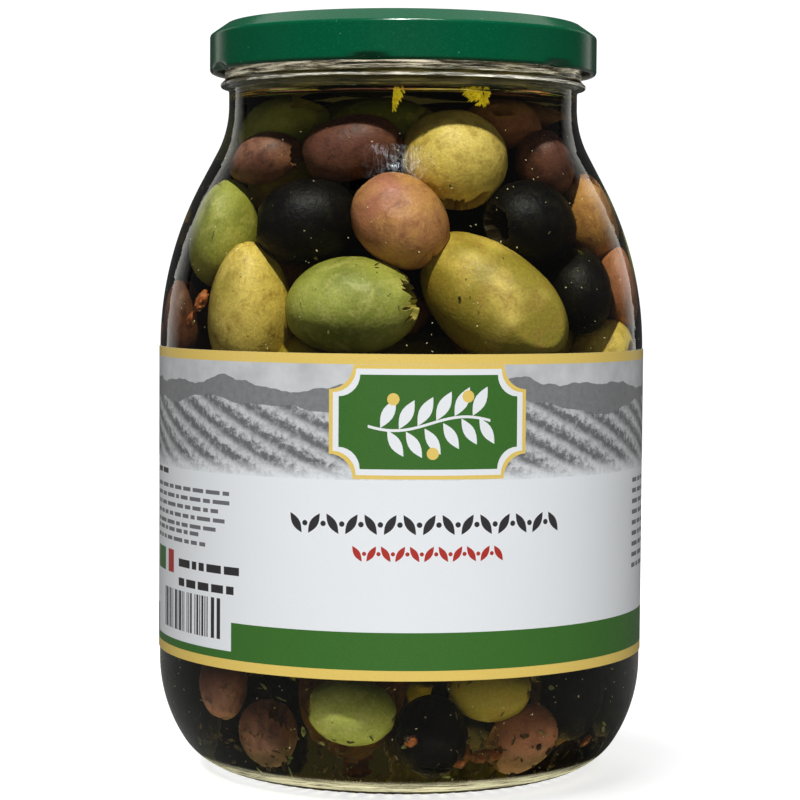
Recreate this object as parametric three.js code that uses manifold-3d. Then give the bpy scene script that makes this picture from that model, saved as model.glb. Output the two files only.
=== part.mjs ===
// A closed glass jar of olives in oil: the glass, its twist-off lid, the wrap-round label
// and the contents up to the level of the oil.
// Millimetres, +Z up. The origin is on the table, at the centre of the base. The front faces -Y.
import * as THREE from 'three';
import { mergeVertices } from 'three/addons/utils/BufferGeometryUtils.js';
import Module from 'manifold-3d';

const wasm = await Module();
wasm.setup();

// Driving dimensions of the glass
const BODY_RADIUS = 53.2;
const NECK_RADIUS = 38.3;
const WALL = 2.9;
const BEARING_INNER_RADIUS = 34.4;
const PUSH_UP = 3.0;
const FLOOR_HEIGHT = 5.2;
const FLOOR_CROWN = 2.0;
const HEEL = { upper: 32.5, lower: 14.1, turn: 32.3 };
const INNER_HEEL = { upper: 30, lower: 12, turn: 32.3 };
const SHOULDER_START = 92.4;
const SHOULDER_RADIUS = 76;
const SHOULDER_SLOPE = 27.9;
const THROAT_RADIUS = 22;

// The finish: the moulded ring under the lid, the thread and the rim
const NECK_END = 147.6;
const BEAD = { radius: 40.15, fillet: 1.3, height: 0.9, shoulder: 0.7 };
const FINISH_RADIUS = 39.2;
const RIM_TOP = 161.8;
const RIM_OUTER_ROUND = 1.2;
const RIM_INNER_ROUND = 1.0;
const THREAD_COUNT = 6;
const THREAD = { radius: 39.35, thickness: 1.25, start: 157.6, sweep: 55, low: 153.25, high: 156.1 };

// The lid
const LID_RADIUS = 42.5;
const LID_BOTTOM = 152.0;
const LID_SHEET = 0.5;
const LID_SKIRT_TOP = 159.6;
const LID_EDGE_ROUND = 0.7;
const LID_EDGE_TURN = 60;
const LID_TOP = 162.7;
const LID_RING_OUTER = 38.5;
const LID_RING_INNER = 36.2;
const LID_PANEL_STEP = 1.0;
const LID_PANEL_DROP = 0.8;
const LID_BUTTON_RADIUS = 12;
const LID_BUTTON_DROP = 0.4;

// How far the lid's inner face moves in, for each millimetre of sheet, at its sloping rim and at its steps
const RIM_SHIFT = 0.25;
const STEP_SHIFT = 0.5;

// The lid's lower edge
const CURL = { inner: 41.4, height: 1.4, round: 0.5 };
const LUG = { radius: 41.2, thickness: 1.0, sweep: 9, height: 153.25, along: 0.78 };

// The label and the contents
const LABEL_BOTTOM = 26.5;
const LABEL_TOP = 92.4;
const LABEL_GAP = 0.1;
const LABEL_THICKNESS = 0.2;
const OIL_LEVEL = 146.0;
const OIL_GAP = 0.3;

// Facets
const SEGMENTS = 40;
const ARC_STEPS = 4;
const SHOULDER_STEPS = 6;
const ROUND_STEPS = 2;
const THREAD_FACETS = { sides: 8, steps: 7 };
const LUG_FACETS = { sides: 6, steps: 2 };
const MERGE_DISTANCE = 0.0001;

const radians = THREE.MathUtils.degToRad;

// Points of an arc in the profile plane, as [radius, height], angles in degrees from +radius
function arc(centreR, centreZ, radius, from, to, steps) {
  const points = [];
  for (let i = 0; i <= steps; i += 1) {
    const angle = radians(from + ((to - from) * i) / steps);
    points.push([centreR + radius * Math.cos(angle), centreZ + radius * Math.sin(angle)]);
  }
  return points;
}

// A shallow dome from the axis out to a rim, highest on the axis
function dome(rimRadius, rimHeight, crown, steps) {
  const points = [];
  for (let i = 0; i < steps; i += 1) {
    const share = i / steps;
    points.push([rimRadius * share, rimHeight + crown * (1 - share * share)]);
  }
  return points;
}

// The heel as two arcs, from where it leaves the bottom to where it meets the upright wall
function heel(wallRadius, bottom, shape) {
  const turn = radians(shape.turn);
  const start = bottom + shape.upper * Math.sin(turn) + shape.lower * (1 - Math.sin(turn));
  const upperR = wallRadius - shape.upper;
  const lowerR = upperR + (shape.upper - shape.lower) * Math.cos(turn);
  return [
    ...arc(lowerR, bottom + shape.lower, shape.lower, -90, -shape.turn, ARC_STEPS),
    ...arc(upperR, start, shape.upper, -shape.turn, 0, ARC_STEPS).slice(1),
  ];
}

// The shoulder, set in from the outer face: bulge, straight slope, then hollow up to the neck
function shoulder(inset) {
  const slope = radians(SHOULDER_SLOPE);
  const bulgeEnd = BODY_RADIUS - SHOULDER_RADIUS * (1 - Math.cos(slope));
  const hollowStart = NECK_RADIUS + THROAT_RADIUS * (1 - Math.cos(slope));
  const straight = (bulgeEnd - hollowStart) / Math.tan(slope);
  const neckStart = SHOULDER_START + (SHOULDER_RADIUS + THROAT_RADIUS) * Math.sin(slope) + straight;
  const bulgeCentre = BODY_RADIUS - SHOULDER_RADIUS;
  const hollowCentre = NECK_RADIUS + THROAT_RADIUS;
  const hollowRadius = THROAT_RADIUS + inset;
  return [
    ...arc(bulgeCentre, SHOULDER_START, SHOULDER_RADIUS - inset, 0, SHOULDER_SLOPE, SHOULDER_STEPS),
    ...arc(hollowCentre, neckStart, hollowRadius, 180 + SHOULDER_SLOPE, 180, ARC_STEPS),
  ];
}

// A profile of [radius, height] points turned round the upright axis
function turned(profile) {
  const points = profile.map(([r, z]) => new THREE.Vector2(Math.max(r, 0), z));
  const geometry = new THREE.LatheGeometry(points, SEGMENTS);
  geometry.rotateX(Math.PI / 2);
  return geometry;
}

function solidOf(geometry) {
  const bare = geometry.clone();
  bare.deleteAttribute('normal');
  bare.deleteAttribute('uv');
  const merged = mergeVertices(bare, MERGE_DISTANCE);
  return new wasm.Manifold(new wasm.Mesh({
    numProp: 3,
    vertProperties: new Float32Array(merged.attributes.position.array),
    triVerts: new Uint32Array(merged.index.array),
  }));
}

function geometryOf(solid) {
  const mesh = solid.getMesh();
  const geometry = new THREE.BufferGeometry();
  geometry.setAttribute('position', new THREE.BufferAttribute(mesh.vertProperties, 3));
  geometry.setIndex(new THREE.BufferAttribute(mesh.triVerts, 1));
  geometry.computeVertexNormals();
  return geometry;
}

// A stretch of a helix round the jar's axis, angles in degrees from +X
class HelixArc extends THREE.Curve {
  constructor(radius, from, to, low, high) {
    super();
    Object.assign(this, { radius, from, to, low, high });
  }

  getPoint(share) {
    const angle = radians(this.from + (this.to - this.from) * share);
    const height = this.low + (this.high - this.low) * share;
    return new THREE.Vector3(this.radius * Math.cos(angle), this.radius * Math.sin(angle), height);
  }
}

// A round bar along a helix
function bar(curve, thickness, { sides, steps }) {
  const section = new THREE.Shape();
  for (let i = 0; i <= sides; i += 1) {
    const angle = (2 * Math.PI * i) / sides;
    const x = thickness * Math.cos(angle);
    const y = thickness * Math.sin(angle);
    if (i === 0) section.moveTo(x, y);
    else section.lineTo(x, y);
  }
  return new THREE.ExtrudeGeometry(section, { steps, extrudePath: curve, bevelEnabled: false });
}

function withAll(base, pieces) {
  let solid = solidOf(base);
  for (const piece of pieces) solid = solid.add(solidOf(piece));
  return geometryOf(solid);
}

// Underside and outer face of the glass, from the middle of the base up to the neck
function glassOutside() {
  return [
    ...dome(BEARING_INNER_RADIUS, 0, PUSH_UP, ARC_STEPS),
    [BEARING_INNER_RADIUS, 0],
    ...heel(BODY_RADIUS, 0, HEEL),
    ...shoulder(0),
    [NECK_RADIUS, NECK_END],
  ];
}

// The moulded ring below the lid, and the straight finish above it up to the rim
function finishOutside() {
  const beadBottom = NECK_END + BEAD.fillet;
  const beadTop = beadBottom + BEAD.height;
  const roundStart = RIM_TOP - RIM_OUTER_ROUND;
  return [
    ...arc(NECK_RADIUS + BEAD.fillet, NECK_END, BEAD.fillet, 180, 90, ROUND_STEPS).slice(1),
    [BEAD.radius, beadBottom],
    [BEAD.radius, beadTop],
    [FINISH_RADIUS, beadTop + BEAD.shoulder],
    ...arc(FINISH_RADIUS - RIM_OUTER_ROUND, roundStart, RIM_OUTER_ROUND, 0, 90, ROUND_STEPS),
  ];
}

// Inner face of the glass, from the rim down to the middle of the floor
function glassInside() {
  const mouth = NECK_RADIUS - WALL;
  const wallUp = [
    ...dome(BODY_RADIUS - WALL - INNER_HEEL.upper, FLOOR_HEIGHT, FLOOR_CROWN, ROUND_STEPS),
    ...heel(BODY_RADIUS - WALL, FLOOR_HEIGHT, INNER_HEEL),
    ...shoulder(WALL),
  ];
  return [
    ...arc(mouth + RIM_INNER_ROUND, RIM_TOP - RIM_INNER_ROUND, RIM_INNER_ROUND, 90, 180, ROUND_STEPS),
    ...wallUp.reverse(),
  ];
}

function threadRidges() {
  const ridges = [];
  for (let i = 0; i < THREAD_COUNT; i += 1) {
    const from = THREAD.start + (360 / THREAD_COUNT) * i;
    const path = new HelixArc(THREAD.radius, from, from + THREAD.sweep, THREAD.low, THREAD.high);
    ridges.push(bar(path, THREAD.thickness, THREAD_FACETS));
  }
  return ridges;
}

function glassJar() {
  const profile = [...glassOutside(), ...finishOutside(), ...glassInside()];
  return withAll(turned(profile), threadRidges());
}

// Face of the lid's top seen from above, from the skirt in to the middle
function lidTop(inset) {
  const height = LID_TOP - inset;
  const panel = height - LID_PANEL_DROP;
  return [
    [LID_RING_OUTER - inset * RIM_SHIFT, height],
    [LID_RING_INNER - inset * STEP_SHIFT, height],
    [LID_RING_INNER - LID_PANEL_STEP - inset * STEP_SHIFT, panel],
    [LID_BUTTON_RADIUS, panel],
    [LID_BUTTON_RADIUS - LID_PANEL_STEP, panel - LID_BUTTON_DROP],
    [0, panel - LID_BUTTON_DROP],
  ];
}

// Rolled edge of the lid, from the inside of the skirt round to its outer face
function lidCurl() {
  const inside = LID_RADIUS - LID_SHEET;
  return [
    [inside, LID_BOTTOM + CURL.height + CURL.round],
    [CURL.inner, LID_BOTTOM + CURL.height],
    [CURL.inner, LID_BOTTOM + CURL.round],
    [CURL.inner + CURL.round, LID_BOTTOM],
    [LID_RADIUS - CURL.round / 2, LID_BOTTOM],
    [LID_RADIUS, LID_BOTTOM + CURL.round],
  ];
}

// Lugs pressed in from the rolled edge, each under its own thread
function lidLugs() {
  const lugs = [];
  for (let i = 0; i < THREAD_COUNT; i += 1) {
    const middle = THREAD.start + (360 / THREAD_COUNT) * i + THREAD.sweep * LUG.along;
    const path = new HelixArc(LUG.radius, middle - LUG.sweep / 2, middle + LUG.sweep / 2, LUG.height, LUG.height);
    lugs.push(bar(path, LUG.thickness, LUG_FACETS));
  }
  return lugs;
}

function lid() {
  const inner = LID_RADIUS - LID_SHEET;
  const profile = [
    ...lidTop(LID_SHEET).reverse(),
    [inner - LID_EDGE_ROUND / 2, LID_SKIRT_TOP + LID_EDGE_ROUND / 2],
    [inner, LID_SKIRT_TOP],
    ...lidCurl(),
    ...arc(LID_RADIUS - LID_EDGE_ROUND, LID_SKIRT_TOP, LID_EDGE_ROUND, 0, LID_EDGE_TURN, ROUND_STEPS),
    ...lidTop(0),
  ];
  return withAll(turned(profile), lidLugs());
}

function label() {
  const inner = BODY_RADIUS + LABEL_GAP;
  const outer = inner + LABEL_THICKNESS;
  return turned([
    [inner, LABEL_BOTTOM],
    [outer, LABEL_BOTTOM],
    [outer, LABEL_TOP],
    [inner, LABEL_TOP],
    [inner, LABEL_BOTTOM],
  ]);
}

// The contents as one solid up to the oil's level, a small gap inside the glass
function oil() {
  const inset = WALL + OIL_GAP;
  const shape = { ...INNER_HEEL, upper: INNER_HEEL.upper - OIL_GAP, lower: INNER_HEEL.lower - OIL_GAP };
  const bottom = FLOOR_HEIGHT + OIL_GAP;
  return turned([
    ...dome(BODY_RADIUS - inset - shape.upper, bottom, FLOOR_CROWN, ROUND_STEPS),
    ...heel(BODY_RADIUS - inset, bottom, shape),
    ...shoulder(inset),
    [NECK_RADIUS - inset, OIL_LEVEL],
    [0, OIL_LEVEL],
  ]);
}

function material(colour, roughness, metalness, extra = {}) {
  return new THREE.MeshStandardMaterial({ color: colour, roughness, metalness, ...extra });
}

function part(name, geometry, look) {
  const mesh = new THREE.Mesh(geometry, look);
  mesh.name = name;
  return mesh;
}

const jar = new THREE.Group();
jar.add(part('glass_jar', glassJar(), material(0xdfe6dc, 0.05, 0, { transparent: true, opacity: 0.35 })));
jar.add(part('lid', lid(), material(0x035333, 0.35, 0.1)));
jar.add(part('label', label(), material(0xe2e3e6, 0.45, 0)));
jar.add(part('oil', oil(), material(0x8a7420, 0.1, 0)));

export default jar;
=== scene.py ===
"""A glass jar of mixed olives in oil, with a green twist-off lid and a wrap-round paper label.

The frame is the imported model: metres, +Z up, the jar standing at the origin, its front facing -Y.
Small sizes are written in millimetres and multiplied by MM.
"""
import math
import random
from dataclasses import dataclass

import bmesh
import bpy
import numpy as np
from mathutils import Matrix, Vector, geometry


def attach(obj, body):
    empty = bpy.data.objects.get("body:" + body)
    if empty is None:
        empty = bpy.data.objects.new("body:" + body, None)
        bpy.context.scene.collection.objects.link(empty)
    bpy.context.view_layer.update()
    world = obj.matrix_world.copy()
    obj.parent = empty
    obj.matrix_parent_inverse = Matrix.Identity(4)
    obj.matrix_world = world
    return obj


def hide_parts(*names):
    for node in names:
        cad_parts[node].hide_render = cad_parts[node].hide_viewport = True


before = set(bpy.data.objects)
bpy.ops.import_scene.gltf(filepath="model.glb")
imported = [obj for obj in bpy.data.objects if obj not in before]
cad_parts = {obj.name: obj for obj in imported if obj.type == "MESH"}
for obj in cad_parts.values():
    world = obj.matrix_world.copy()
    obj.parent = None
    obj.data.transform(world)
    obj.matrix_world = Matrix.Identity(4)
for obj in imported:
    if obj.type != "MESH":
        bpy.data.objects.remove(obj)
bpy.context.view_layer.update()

MM = 0.001
TINY = 1e-6
SHARP_ANGLE = 50

# The photograph's camera, fitted to the jar's outline
FRAME_PIXELS = 800
FOCAL_PIXELS = 2413.5
SENSOR_MM = 36.0
CAMERA_DISTANCE = 535.4 * MM
CAMERA_HEIGHT = 108.8 * MM
CAMERA_PITCH = 0.053
CAMERA_YAW = 0.0004
CAMERA_ROLL = 0.0069
CAMERA_TURN = (Matrix.Rotation(CAMERA_YAW, 3, "Z") @ Matrix.Rotation(math.pi / 2 - CAMERA_PITCH, 3, "X")
               @ Matrix.Rotation(CAMERA_ROLL, 3, "Z"))

# The glass, as the solid model has it
BODY_RADIUS = 53.2
NECK_RADIUS = 38.3
WALL = 2.9
BEARING_INNER_RADIUS = 34.4
PUSH_UP = 3.0
FLOOR_HEIGHT = 5.2
FLOOR_CROWN = 2.0
INNER_DOME_STEPS = 8
OUTER_DOME_STEPS = 10
HEEL = {"upper": 32.5, "lower": 14.1, "turn": 32.3}
INNER_HEEL = {"upper": 30.0, "lower": 12.0, "turn": 32.3}
SHOULDER_START = 92.4
SHOULDER_RADIUS = 76.0
SHOULDER_SLOPE = 27.9
THROAT_RADIUS = 22.0
NECK_END = 147.6
BEAD = {"radius": 40.15, "fillet": 1.3, "height": 0.9, "shoulder": 0.7, "round": 0.3}
FINISH_RADIUS = 39.2
RIM_TOP = 161.8
RIM_OUTER_ROUND = 1.2
RIM_INNER_ROUND = 1.0
THREAD_COUNT = 6
THREAD = {"rise": 1.5, "half_width": 1.2, "start": 157.6, "sweep": 55.0, "low": 153.0, "high": 156.1,
          "end_share": 0.08, "all_above": 150.6}
KNURL = {"count": 66, "depth": 0.35, "height": 1.2, "flat_below": 0.05, "from_radius": 33.9}
POINTS_PER_RIB = 6

# What the glass looks like, and the heights between which its outside carries painted glints, painted light
# and painted reflections
GLASS_SLOTS = ("glass", "wet", "dry neck", "ribs", "foot", "bead", "collar")
PAINTED_LIGHT_ZONES = {"ribs": (-1.0, 0.9), "foot": (1.7, 5.0), "bead": (149.1, 149.65), "collar": (150.4, 152.4)}
STREAK_STRETCH = (0.10, 0.10, 2.2)
FOOT_FADE = (3.0, 4.6)
NO_FADE = (190.0, 200.0)
GLASS_INDEX = 1.5
GLASS_TINT = (0.985, 0.995, 0.985, 1)
GLASS_DEPTH_COLOUR = (0.55, 0.8, 0.5, 1)
GLASS_DENSITY = 9.0
GLASS_WAVE = 0.2 * MM

# The lid
LID_RADIUS = 42.5
LID_BOTTOM = 152.0
LID_SHEET = 0.3
LID_SKIRT_TOP = 159.6
LID_EDGE_ROUND = 0.9
LID_TOP = 162.7
LID_RING = {"outer": 38.5, "outer_round": 0.8, "inner": 36.2, "inner_round": 0.5}
LID_PANEL = {"drop": 0.8, "round": 0.3, "slope": 1.2}
LID_BUTTON = {"radius": 12.0, "drop": 0.4, "slope": 1.2, "flat": 4}
LID_CURL_RADIUS = 0.75
LID_CURL_TURN = 280
LID_UNDERSIDE = {"inset": 0.4 * LID_SHEET, "from_height": LID_SKIRT_TOP + 0.6,
                 "skirt_end": LID_BOTTOM + 2.2 * LID_CURL_RADIUS}
LID_PAINTED_CURL_STEPS = 6
LUG = {"angle": 20.5, "half_width": 7.5, "depth": 1.7, "low": 151.9, "high": 153.5, "reach": 3}
PAINT_PEEL = 0.03 * MM

# The label
LABEL_BOTTOM = 26.5
LABEL_TOP = 92.4
LABEL_RADIUS = 53.3
LABEL_THICKNESS = 0.12
LABEL_TURN = math.radians(6.3)
LABEL_HEIGHT = LABEL_TOP - LABEL_BOTTOM
LABEL_BEND_RADIUS = LABEL_RADIUS + LABEL_THICKNESS
LABEL_OVERLAP = 8.0
LABEL_LENGTH = 2 * math.pi * LABEL_BEND_RADIUS + LABEL_OVERLAP
LABEL_CUT = 2.0
LAP_RAMP = 3
LAP_LIFT = 1.1 * LABEL_THICKNESS
PAPER_GRAIN = 0.03 * MM

# The contents
OIL_LEVEL = 145.9
MENISCUS_TOP = 147.3
MENISCUS_WIDTH = 2.6
MENISCUS_STEPS = 10
OIL_INTO_WALL = 0.2
OIL_INDEX = 1.47
OIL_AGAINST_GLASS_INDEX = 0.98
OIL_COLOUR = (0.80, 0.66, 0.18, 1)
OIL_DENSITY = 40.0
WALL_GAP = 0.25
SIGHT_START = 400.0
SIGHT_STEP = 0.1
SINK_STEP = 0.2
SKIN_GAP = 0.1

# The heap of olives
SEED = 7
FILLER_COUNT = 232
FILLER_WIDTH = (13.0, 18.5)
FILLER_CLEARANCE = 6
KIND_SHARES = {"yellow": 0.22, "green": 0.22, "black": 0.26, "mauve": 0.2, "pink": 0.1}
OLIVE_TOP = 145.4
LOOSE_RADIUS = 22.0
LOOSE_LEAN = 0.85
HIDDEN_BY_LABEL = (LABEL_BOTTOM + 4, LABEL_TOP - 8)
FOOT_TOP = LABEL_BOTTOM + 9
FOOT_GREEN_ABOVE = 0.8
FOOT_MAUVE_ABOVE = 0.55

# How the heap settles. The photographed olives give way by the ease, and are drawn home again
SETTLE = {"rounds": 260, "ease": 0.12, "step": 0.4, "sink": 0.04, "spread": 0.10, "home": 0.25, "longest": 2}
DEEPEST_OVERLAP = 2.4
END_BALL_SIZE = 1.12
RESERVED_DEPTH = 7.0
RESERVED_FRONT = -8
RESERVED_FROM_LABEL = 9

# The shape of an olive, as shares of its half width where no unit is given
SKIN_BLUNTNESS = 0.93
LUMP_SIZE = 0.012
LUMP_WAVES = 8
DENT_COUNT = 3
DENT_DEPTH = 0.05
DENT_WIDTH = 0.12
SLIT_REACH = 0.42
SLIT_DEPTH = 0.8
SLIT_WIDTH = 0.35
LARGEST_HOLE = 0.9
LIP_RANGE = (0.06, 1.4)
RIPPLE_ORDERS = (1, 2, 3, 5, 7, 9, 12)
NOTCH_WIDTH = 0.28
NOTCH_DEPTH = 0.55
HOLE_DEPTH = 1.4

# The rings of a hole: how wide each is against the torn edge, and how far down it lies
HOLE_STEPS = ((0.93, 0.02), (0.84, 0.10), (0.80, 0.35), (0.7, 0.8))

# Rows and columns of an olive's mesh, by how well it is seen
OLIVE_GRIDS = {"photographed": (60, 84), "near": (34, 44), "hidden": (14, 18)}


def linear(red, green, blue):
    """An sRGB colour, 0 to 255, as the linear RGBA that Blender's sockets hold."""
    def channel(value):
        share = value / 255
        return share / 12.92 if share <= 0.04045 else ((share + 0.055) / 1.055) ** 2.4
    return (channel(red), channel(green), channel(blue), 1.0)


def grey(value):
    return (value, value, value, 1)


WHITE = grey(1)
PAPER_WHITE = linear(233, 236, 239)
LANDSCAPE_PALE = linear(206, 208, 210)
LANDSCAPE_SKY = linear(184, 186, 188)
LANDSCAPE_MID = linear(150, 151, 152)
LANDSCAPE_DARK = linear(96, 97, 99)

# The printed landscape, in millimetres above the label's lower edge
FAR_HILLS = (57.0, 62.0)
NEAR_HILLS = (52.0, 58.5)
LANDSCAPE_FADE = (38.5, 42.5)
ROW_SLANT = 0.45

# The olives' skins
OLIVE_SKINS = {
    "yellow": {"skin": linear(230, 203, 106), "patch": linear(160, 144, 56), "mottle": linear(170, 138, 62),
               "flesh": linear(190, 160, 76), "speck": linear(96, 76, 34),
               "speck_size": 0.17, "patch_scale": 0.07},
    "green": {"skin": linear(166, 170, 82), "patch": linear(124, 130, 52), "mottle": linear(190, 186, 108),
              "flesh": linear(160, 146, 76), "speck": linear(58, 60, 26),
              "speck_size": 0.17, "patch_scale": 0.07},
    "black": {"skin": linear(4, 4, 5), "patch": linear(10, 7, 7), "mottle": linear(26, 24, 14),
              "flesh": linear(40, 30, 20), "speck": linear(108, 98, 72),
              "speck_size": 0.13, "patch_scale": 0.09},
    "mauve": {"skin": linear(106, 66, 53), "patch": linear(144, 98, 78), "mottle": linear(56, 36, 32),
              "flesh": linear(146, 100, 70), "speck": linear(176, 140, 112),
              "speck_size": 0.08, "patch_scale": 0.10},
    "pink": {"skin": linear(182, 120, 92), "patch": linear(200, 147, 88), "mottle": linear(146, 94, 70),
             "flesh": linear(196, 148, 86), "speck": linear(226, 190, 150),
             "speck_size": 0.08, "patch_scale": 0.08},
}
SKIN_GLOSS = {"Specular IOR Level": 0.22, "Subsurface Weight": 0.12, "Subsurface Radius": (1.0, 0.6, 0.25),
              "Subsurface Scale": 1.6 * MM}
BLACK_GLOSS = {"Sheen Weight": 0.05, "Sheen Roughness": 0.22, "Sheen Tint": linear(120, 116, 70),
               "Specular IOR Level": 0.13}
SKIN_WRINKLE = 0.22 * MM
BLACK_WRINKLE = 0.34 * MM

# The small things: pale specks, dried herbs, crumbs of olive, seeds, chilli and painted yellow glints
CHIP_GRAIN = 0.1 * MM
CHIP_UNEVENNESS = 0.16
# Painted glints: the glint chips glow by themselves, in place of light caught by the oil under the neck
GLINT_GLOW = {"Emission Color": linear(235, 205, 30), "Emission Strength": 0.27}
ABOVE_LABEL = (LABEL_TOP, 138)
BELOW_LABEL = (6.0, LABEL_BOTTOM)
SPECK_SIZES = ((0.25, 0.6), (0.2, 0.45), (0.15, 0.3))
SCATTERED = (
    ("pale_specks", {"count": 420, "heights": ABOVE_LABEL, "sizes": SPECK_SIZES,
                     "deepest": 7, "afloat": 0.25}),
    ("pale_specks", {"count": 200, "heights": BELOW_LABEL, "sizes": SPECK_SIZES,
                     "deepest": 7, "afloat": 0.3}),
    ("herb_flakes", {"count": 46, "heights": ABOVE_LABEL, "sizes": ((1.2, 2.8), (0.5, 1.1), (0.12, 0.2))}),
    ("herb_flakes", {"count": 110, "heights": BELOW_LABEL, "sizes": ((1.2, 3.4), (0.6, 1.4), (0.12, 0.25))}),
    ("olive_crumbs", {"count": 520, "heights": (5.4, 14.0), "sizes": ((0.5, 2.8), (0.4, 1.3), (0.2, 0.6)),
                      "deepest": 8.0, "afloat": 0.15}),
    ("dark_seeds", {"count": 14, "heights": (5.8, 16.0), "sizes": ((1.5, 2.0), (1.5, 2.0), (1.4, 1.9)),
                    "roundness": 2, "deepest": 4.0, "afloat": 0.5}),
)
LOOSE_CHILLI = {"count": 5, "heights": (8, 24), "sizes": ((3.0, 5.0), (2.0, 3.0), (1.2, 2.2)), "roundness": 3}

# Bits of chilli seen in the photograph, with how far each lies behind the glass
CHILLI_BITS = (
    {"pixel": (201, 301), "behind": 0.6, "sizes": (5.0, 4.0, 3.0)},
    {"pixel": (191, 320), "behind": 0.8, "sizes": (4.0, 3.6, 2.5)},
    {"pixel": (486, 757), "behind": 1.0, "sizes": (6.0, 3.0, 2.5)},
    {"pixel": (462, 752), "behind": 4.0, "sizes": (5.0, 4.0, 3.0)},
)

# Fans of painted yellow glints seen under the neck, glowing chips in place of light, their spread in pixels
# too
OIL_GLINTS = (
    {"top_pixel": (399, 90), "foot_pixel": (394, 112), "spread": 5, "count": 70},
    {"top_pixel": (476, 90), "foot_pixel": (482, 106), "spread": 15, "count": 120},
)
GLINT_SIZES = ((0.25, 0.5), (0.2, 0.35), (0.8, 2.2))
GLINT_TAPER = 0.75

# Lights. Azimuth is in degrees from the camera's side, positive to the right, elevation from the table up
KEY_AZIMUTH = -4
KEY_ELEVATION = 59
KEY_STRENGTH = 4.2
KEY_ANGLE = 3.0
KEY_GLOW = 170.0
KEY_FALL = 3.2
KEY_STREAK = (48, 9, 0)
KEY_CARD = {"rise": 4, "distance": 1.0, "half_width": 0.38, "half_height": 0.14, "from": (0, -0.04, 0.13)}
PANEL = {"angles": (122, 143), "distance": 0.75, "heights": (-0.02, 0.6), "strength": 1.1, "fall": 1.6}
BASE_GLOW = {"radius": BEARING_INNER_RADIUS - 0.6, "height": 0.4, "strength": 6.0,
             "colour": (1, 0.74, 0.24, 1)}
LAMP_TARGET = Vector((0, 0, 0.08))
FLOOR_LIGHT = {"azimuth": -70, "elevation": 72, "strength": 2.9, "angle": 34.0}
FLOOR_RADIUS = 0.9

# Soft lamps: azimuth, elevation, distance, size and power
FILL_LIGHTS = {
    "front_fill": (-10, 12, 1.6, 0.9, 1.2),
    "low_fill": (4, 1, 0.7, 0.5, 1.1),
    "left_fill": (-80, 12, 1.0, 0.5, 0.9),
    "right_fill": (80, 12, 1.0, 0.5, 1.2),
    "back_fill": (180, 35, 1.4, 0.8, 10.0),
}
NECK_LIGHT = (2, -3, 0.8, 0.3, 6.0)
FOOT_LIGHT = (6, -40, 0.5, 0.2, 1.7)

# The bounce from the table: its lamps' azimuths, then elevation, distance, size and power of each
BOUNCE_AZIMUTHS = (0, 90, 180, 270)
BOUNCE = (-58, 0.30, 0.2, 0.3)
BOUNCE_COLOUR = (1.0, 0.95, 0.8)

# Cards that only the lid mirrors: left and right, near edge and far edge as (y, z) in metres, and strength
LID_CARDS = {
    "lid_ceiling": ((-0.4, 0.4), (0.15, 1.0), (0.9, 0.8), 0.7),
    "lid_glint": ((-0.06, 0.22), (-0.36, 1.1), (-0.20, 1.15), 60.0),
}
SEEN_IN_GLOSS_ONLY = ("camera", "diffuse", "transmission", "shadow")
RAY_LIMITS = {
    "caustics_refractive": False,
    "caustics_reflective": False,
    "max_bounces": 16,
    "transmission_bounces": 14,
    "transparent_max_bounces": 24,
    "glossy_bounces": 6,
    "diffuse_bounces": 3,
}


# Outlines: a profile is a list of (radius, height) in millimetres

def arc(centre_r, centre_z, radius, start, end, steps):
    angles = (math.radians(start + (end - start) * i / steps) for i in range(steps + 1))
    return [(centre_r + radius * math.cos(a), centre_z + radius * math.sin(a)) for a in angles]


def disc(u, v, radius, steps=14):
    return arc(u, v, radius, 0, 360 - 360 / steps, steps - 1)


def rectangle(u0, v0, u1, v1):
    return [(u0, v0), (u1, v0), (u1, v1), (u0, v1)]


def dome(rim_radius, rim_height, crown, steps):
    shares = (i / steps for i in range(steps))
    return [(rim_radius * s, rim_height + crown * (1 - s * s)) for s in shares]


def line(start, end, steps):
    """Points from start towards end, without end."""
    return [tuple(a + (b - a) * i / steps for a, b in zip(start, end)) for i in range(steps)]


def heel(wall_radius, bottom, shape, steps=14):
    turn = math.radians(shape["turn"])
    start = bottom + shape["upper"] * math.sin(turn) + shape["lower"] * (1 - math.sin(turn))
    upper_r = wall_radius - shape["upper"]
    lower_r = upper_r + (shape["upper"] - shape["lower"]) * math.cos(turn)
    return (
        arc(lower_r, bottom + shape["lower"], shape["lower"], -90, -shape["turn"], steps)
        + arc(upper_r, start, shape["upper"], -shape["turn"], 0, steps)[1:]
    )


def shoulder(inset):
    """The shoulder, set in from the outer face: bulge, straight slope, hollow up to the neck."""
    slope = math.radians(SHOULDER_SLOPE)
    bulge_end = BODY_RADIUS - SHOULDER_RADIUS * (1 - math.cos(slope))
    hollow_start = NECK_RADIUS + THROAT_RADIUS * (1 - math.cos(slope))
    straight = (bulge_end - hollow_start) / math.tan(slope)
    neck_start = SHOULDER_START + (SHOULDER_RADIUS + THROAT_RADIUS) * math.sin(slope) + straight
    bulge = arc(BODY_RADIUS - SHOULDER_RADIUS, SHOULDER_START, SHOULDER_RADIUS - inset, 0, SHOULDER_SLOPE, 24)
    hollow_r = NECK_RADIUS + THROAT_RADIUS
    hollow = arc(hollow_r, neck_start, THROAT_RADIUS + inset, 180 + SHOULDER_SLOPE, 180, 12)
    return bulge + line(bulge[-1], hollow[0], 4)[1:] + hollow


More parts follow.
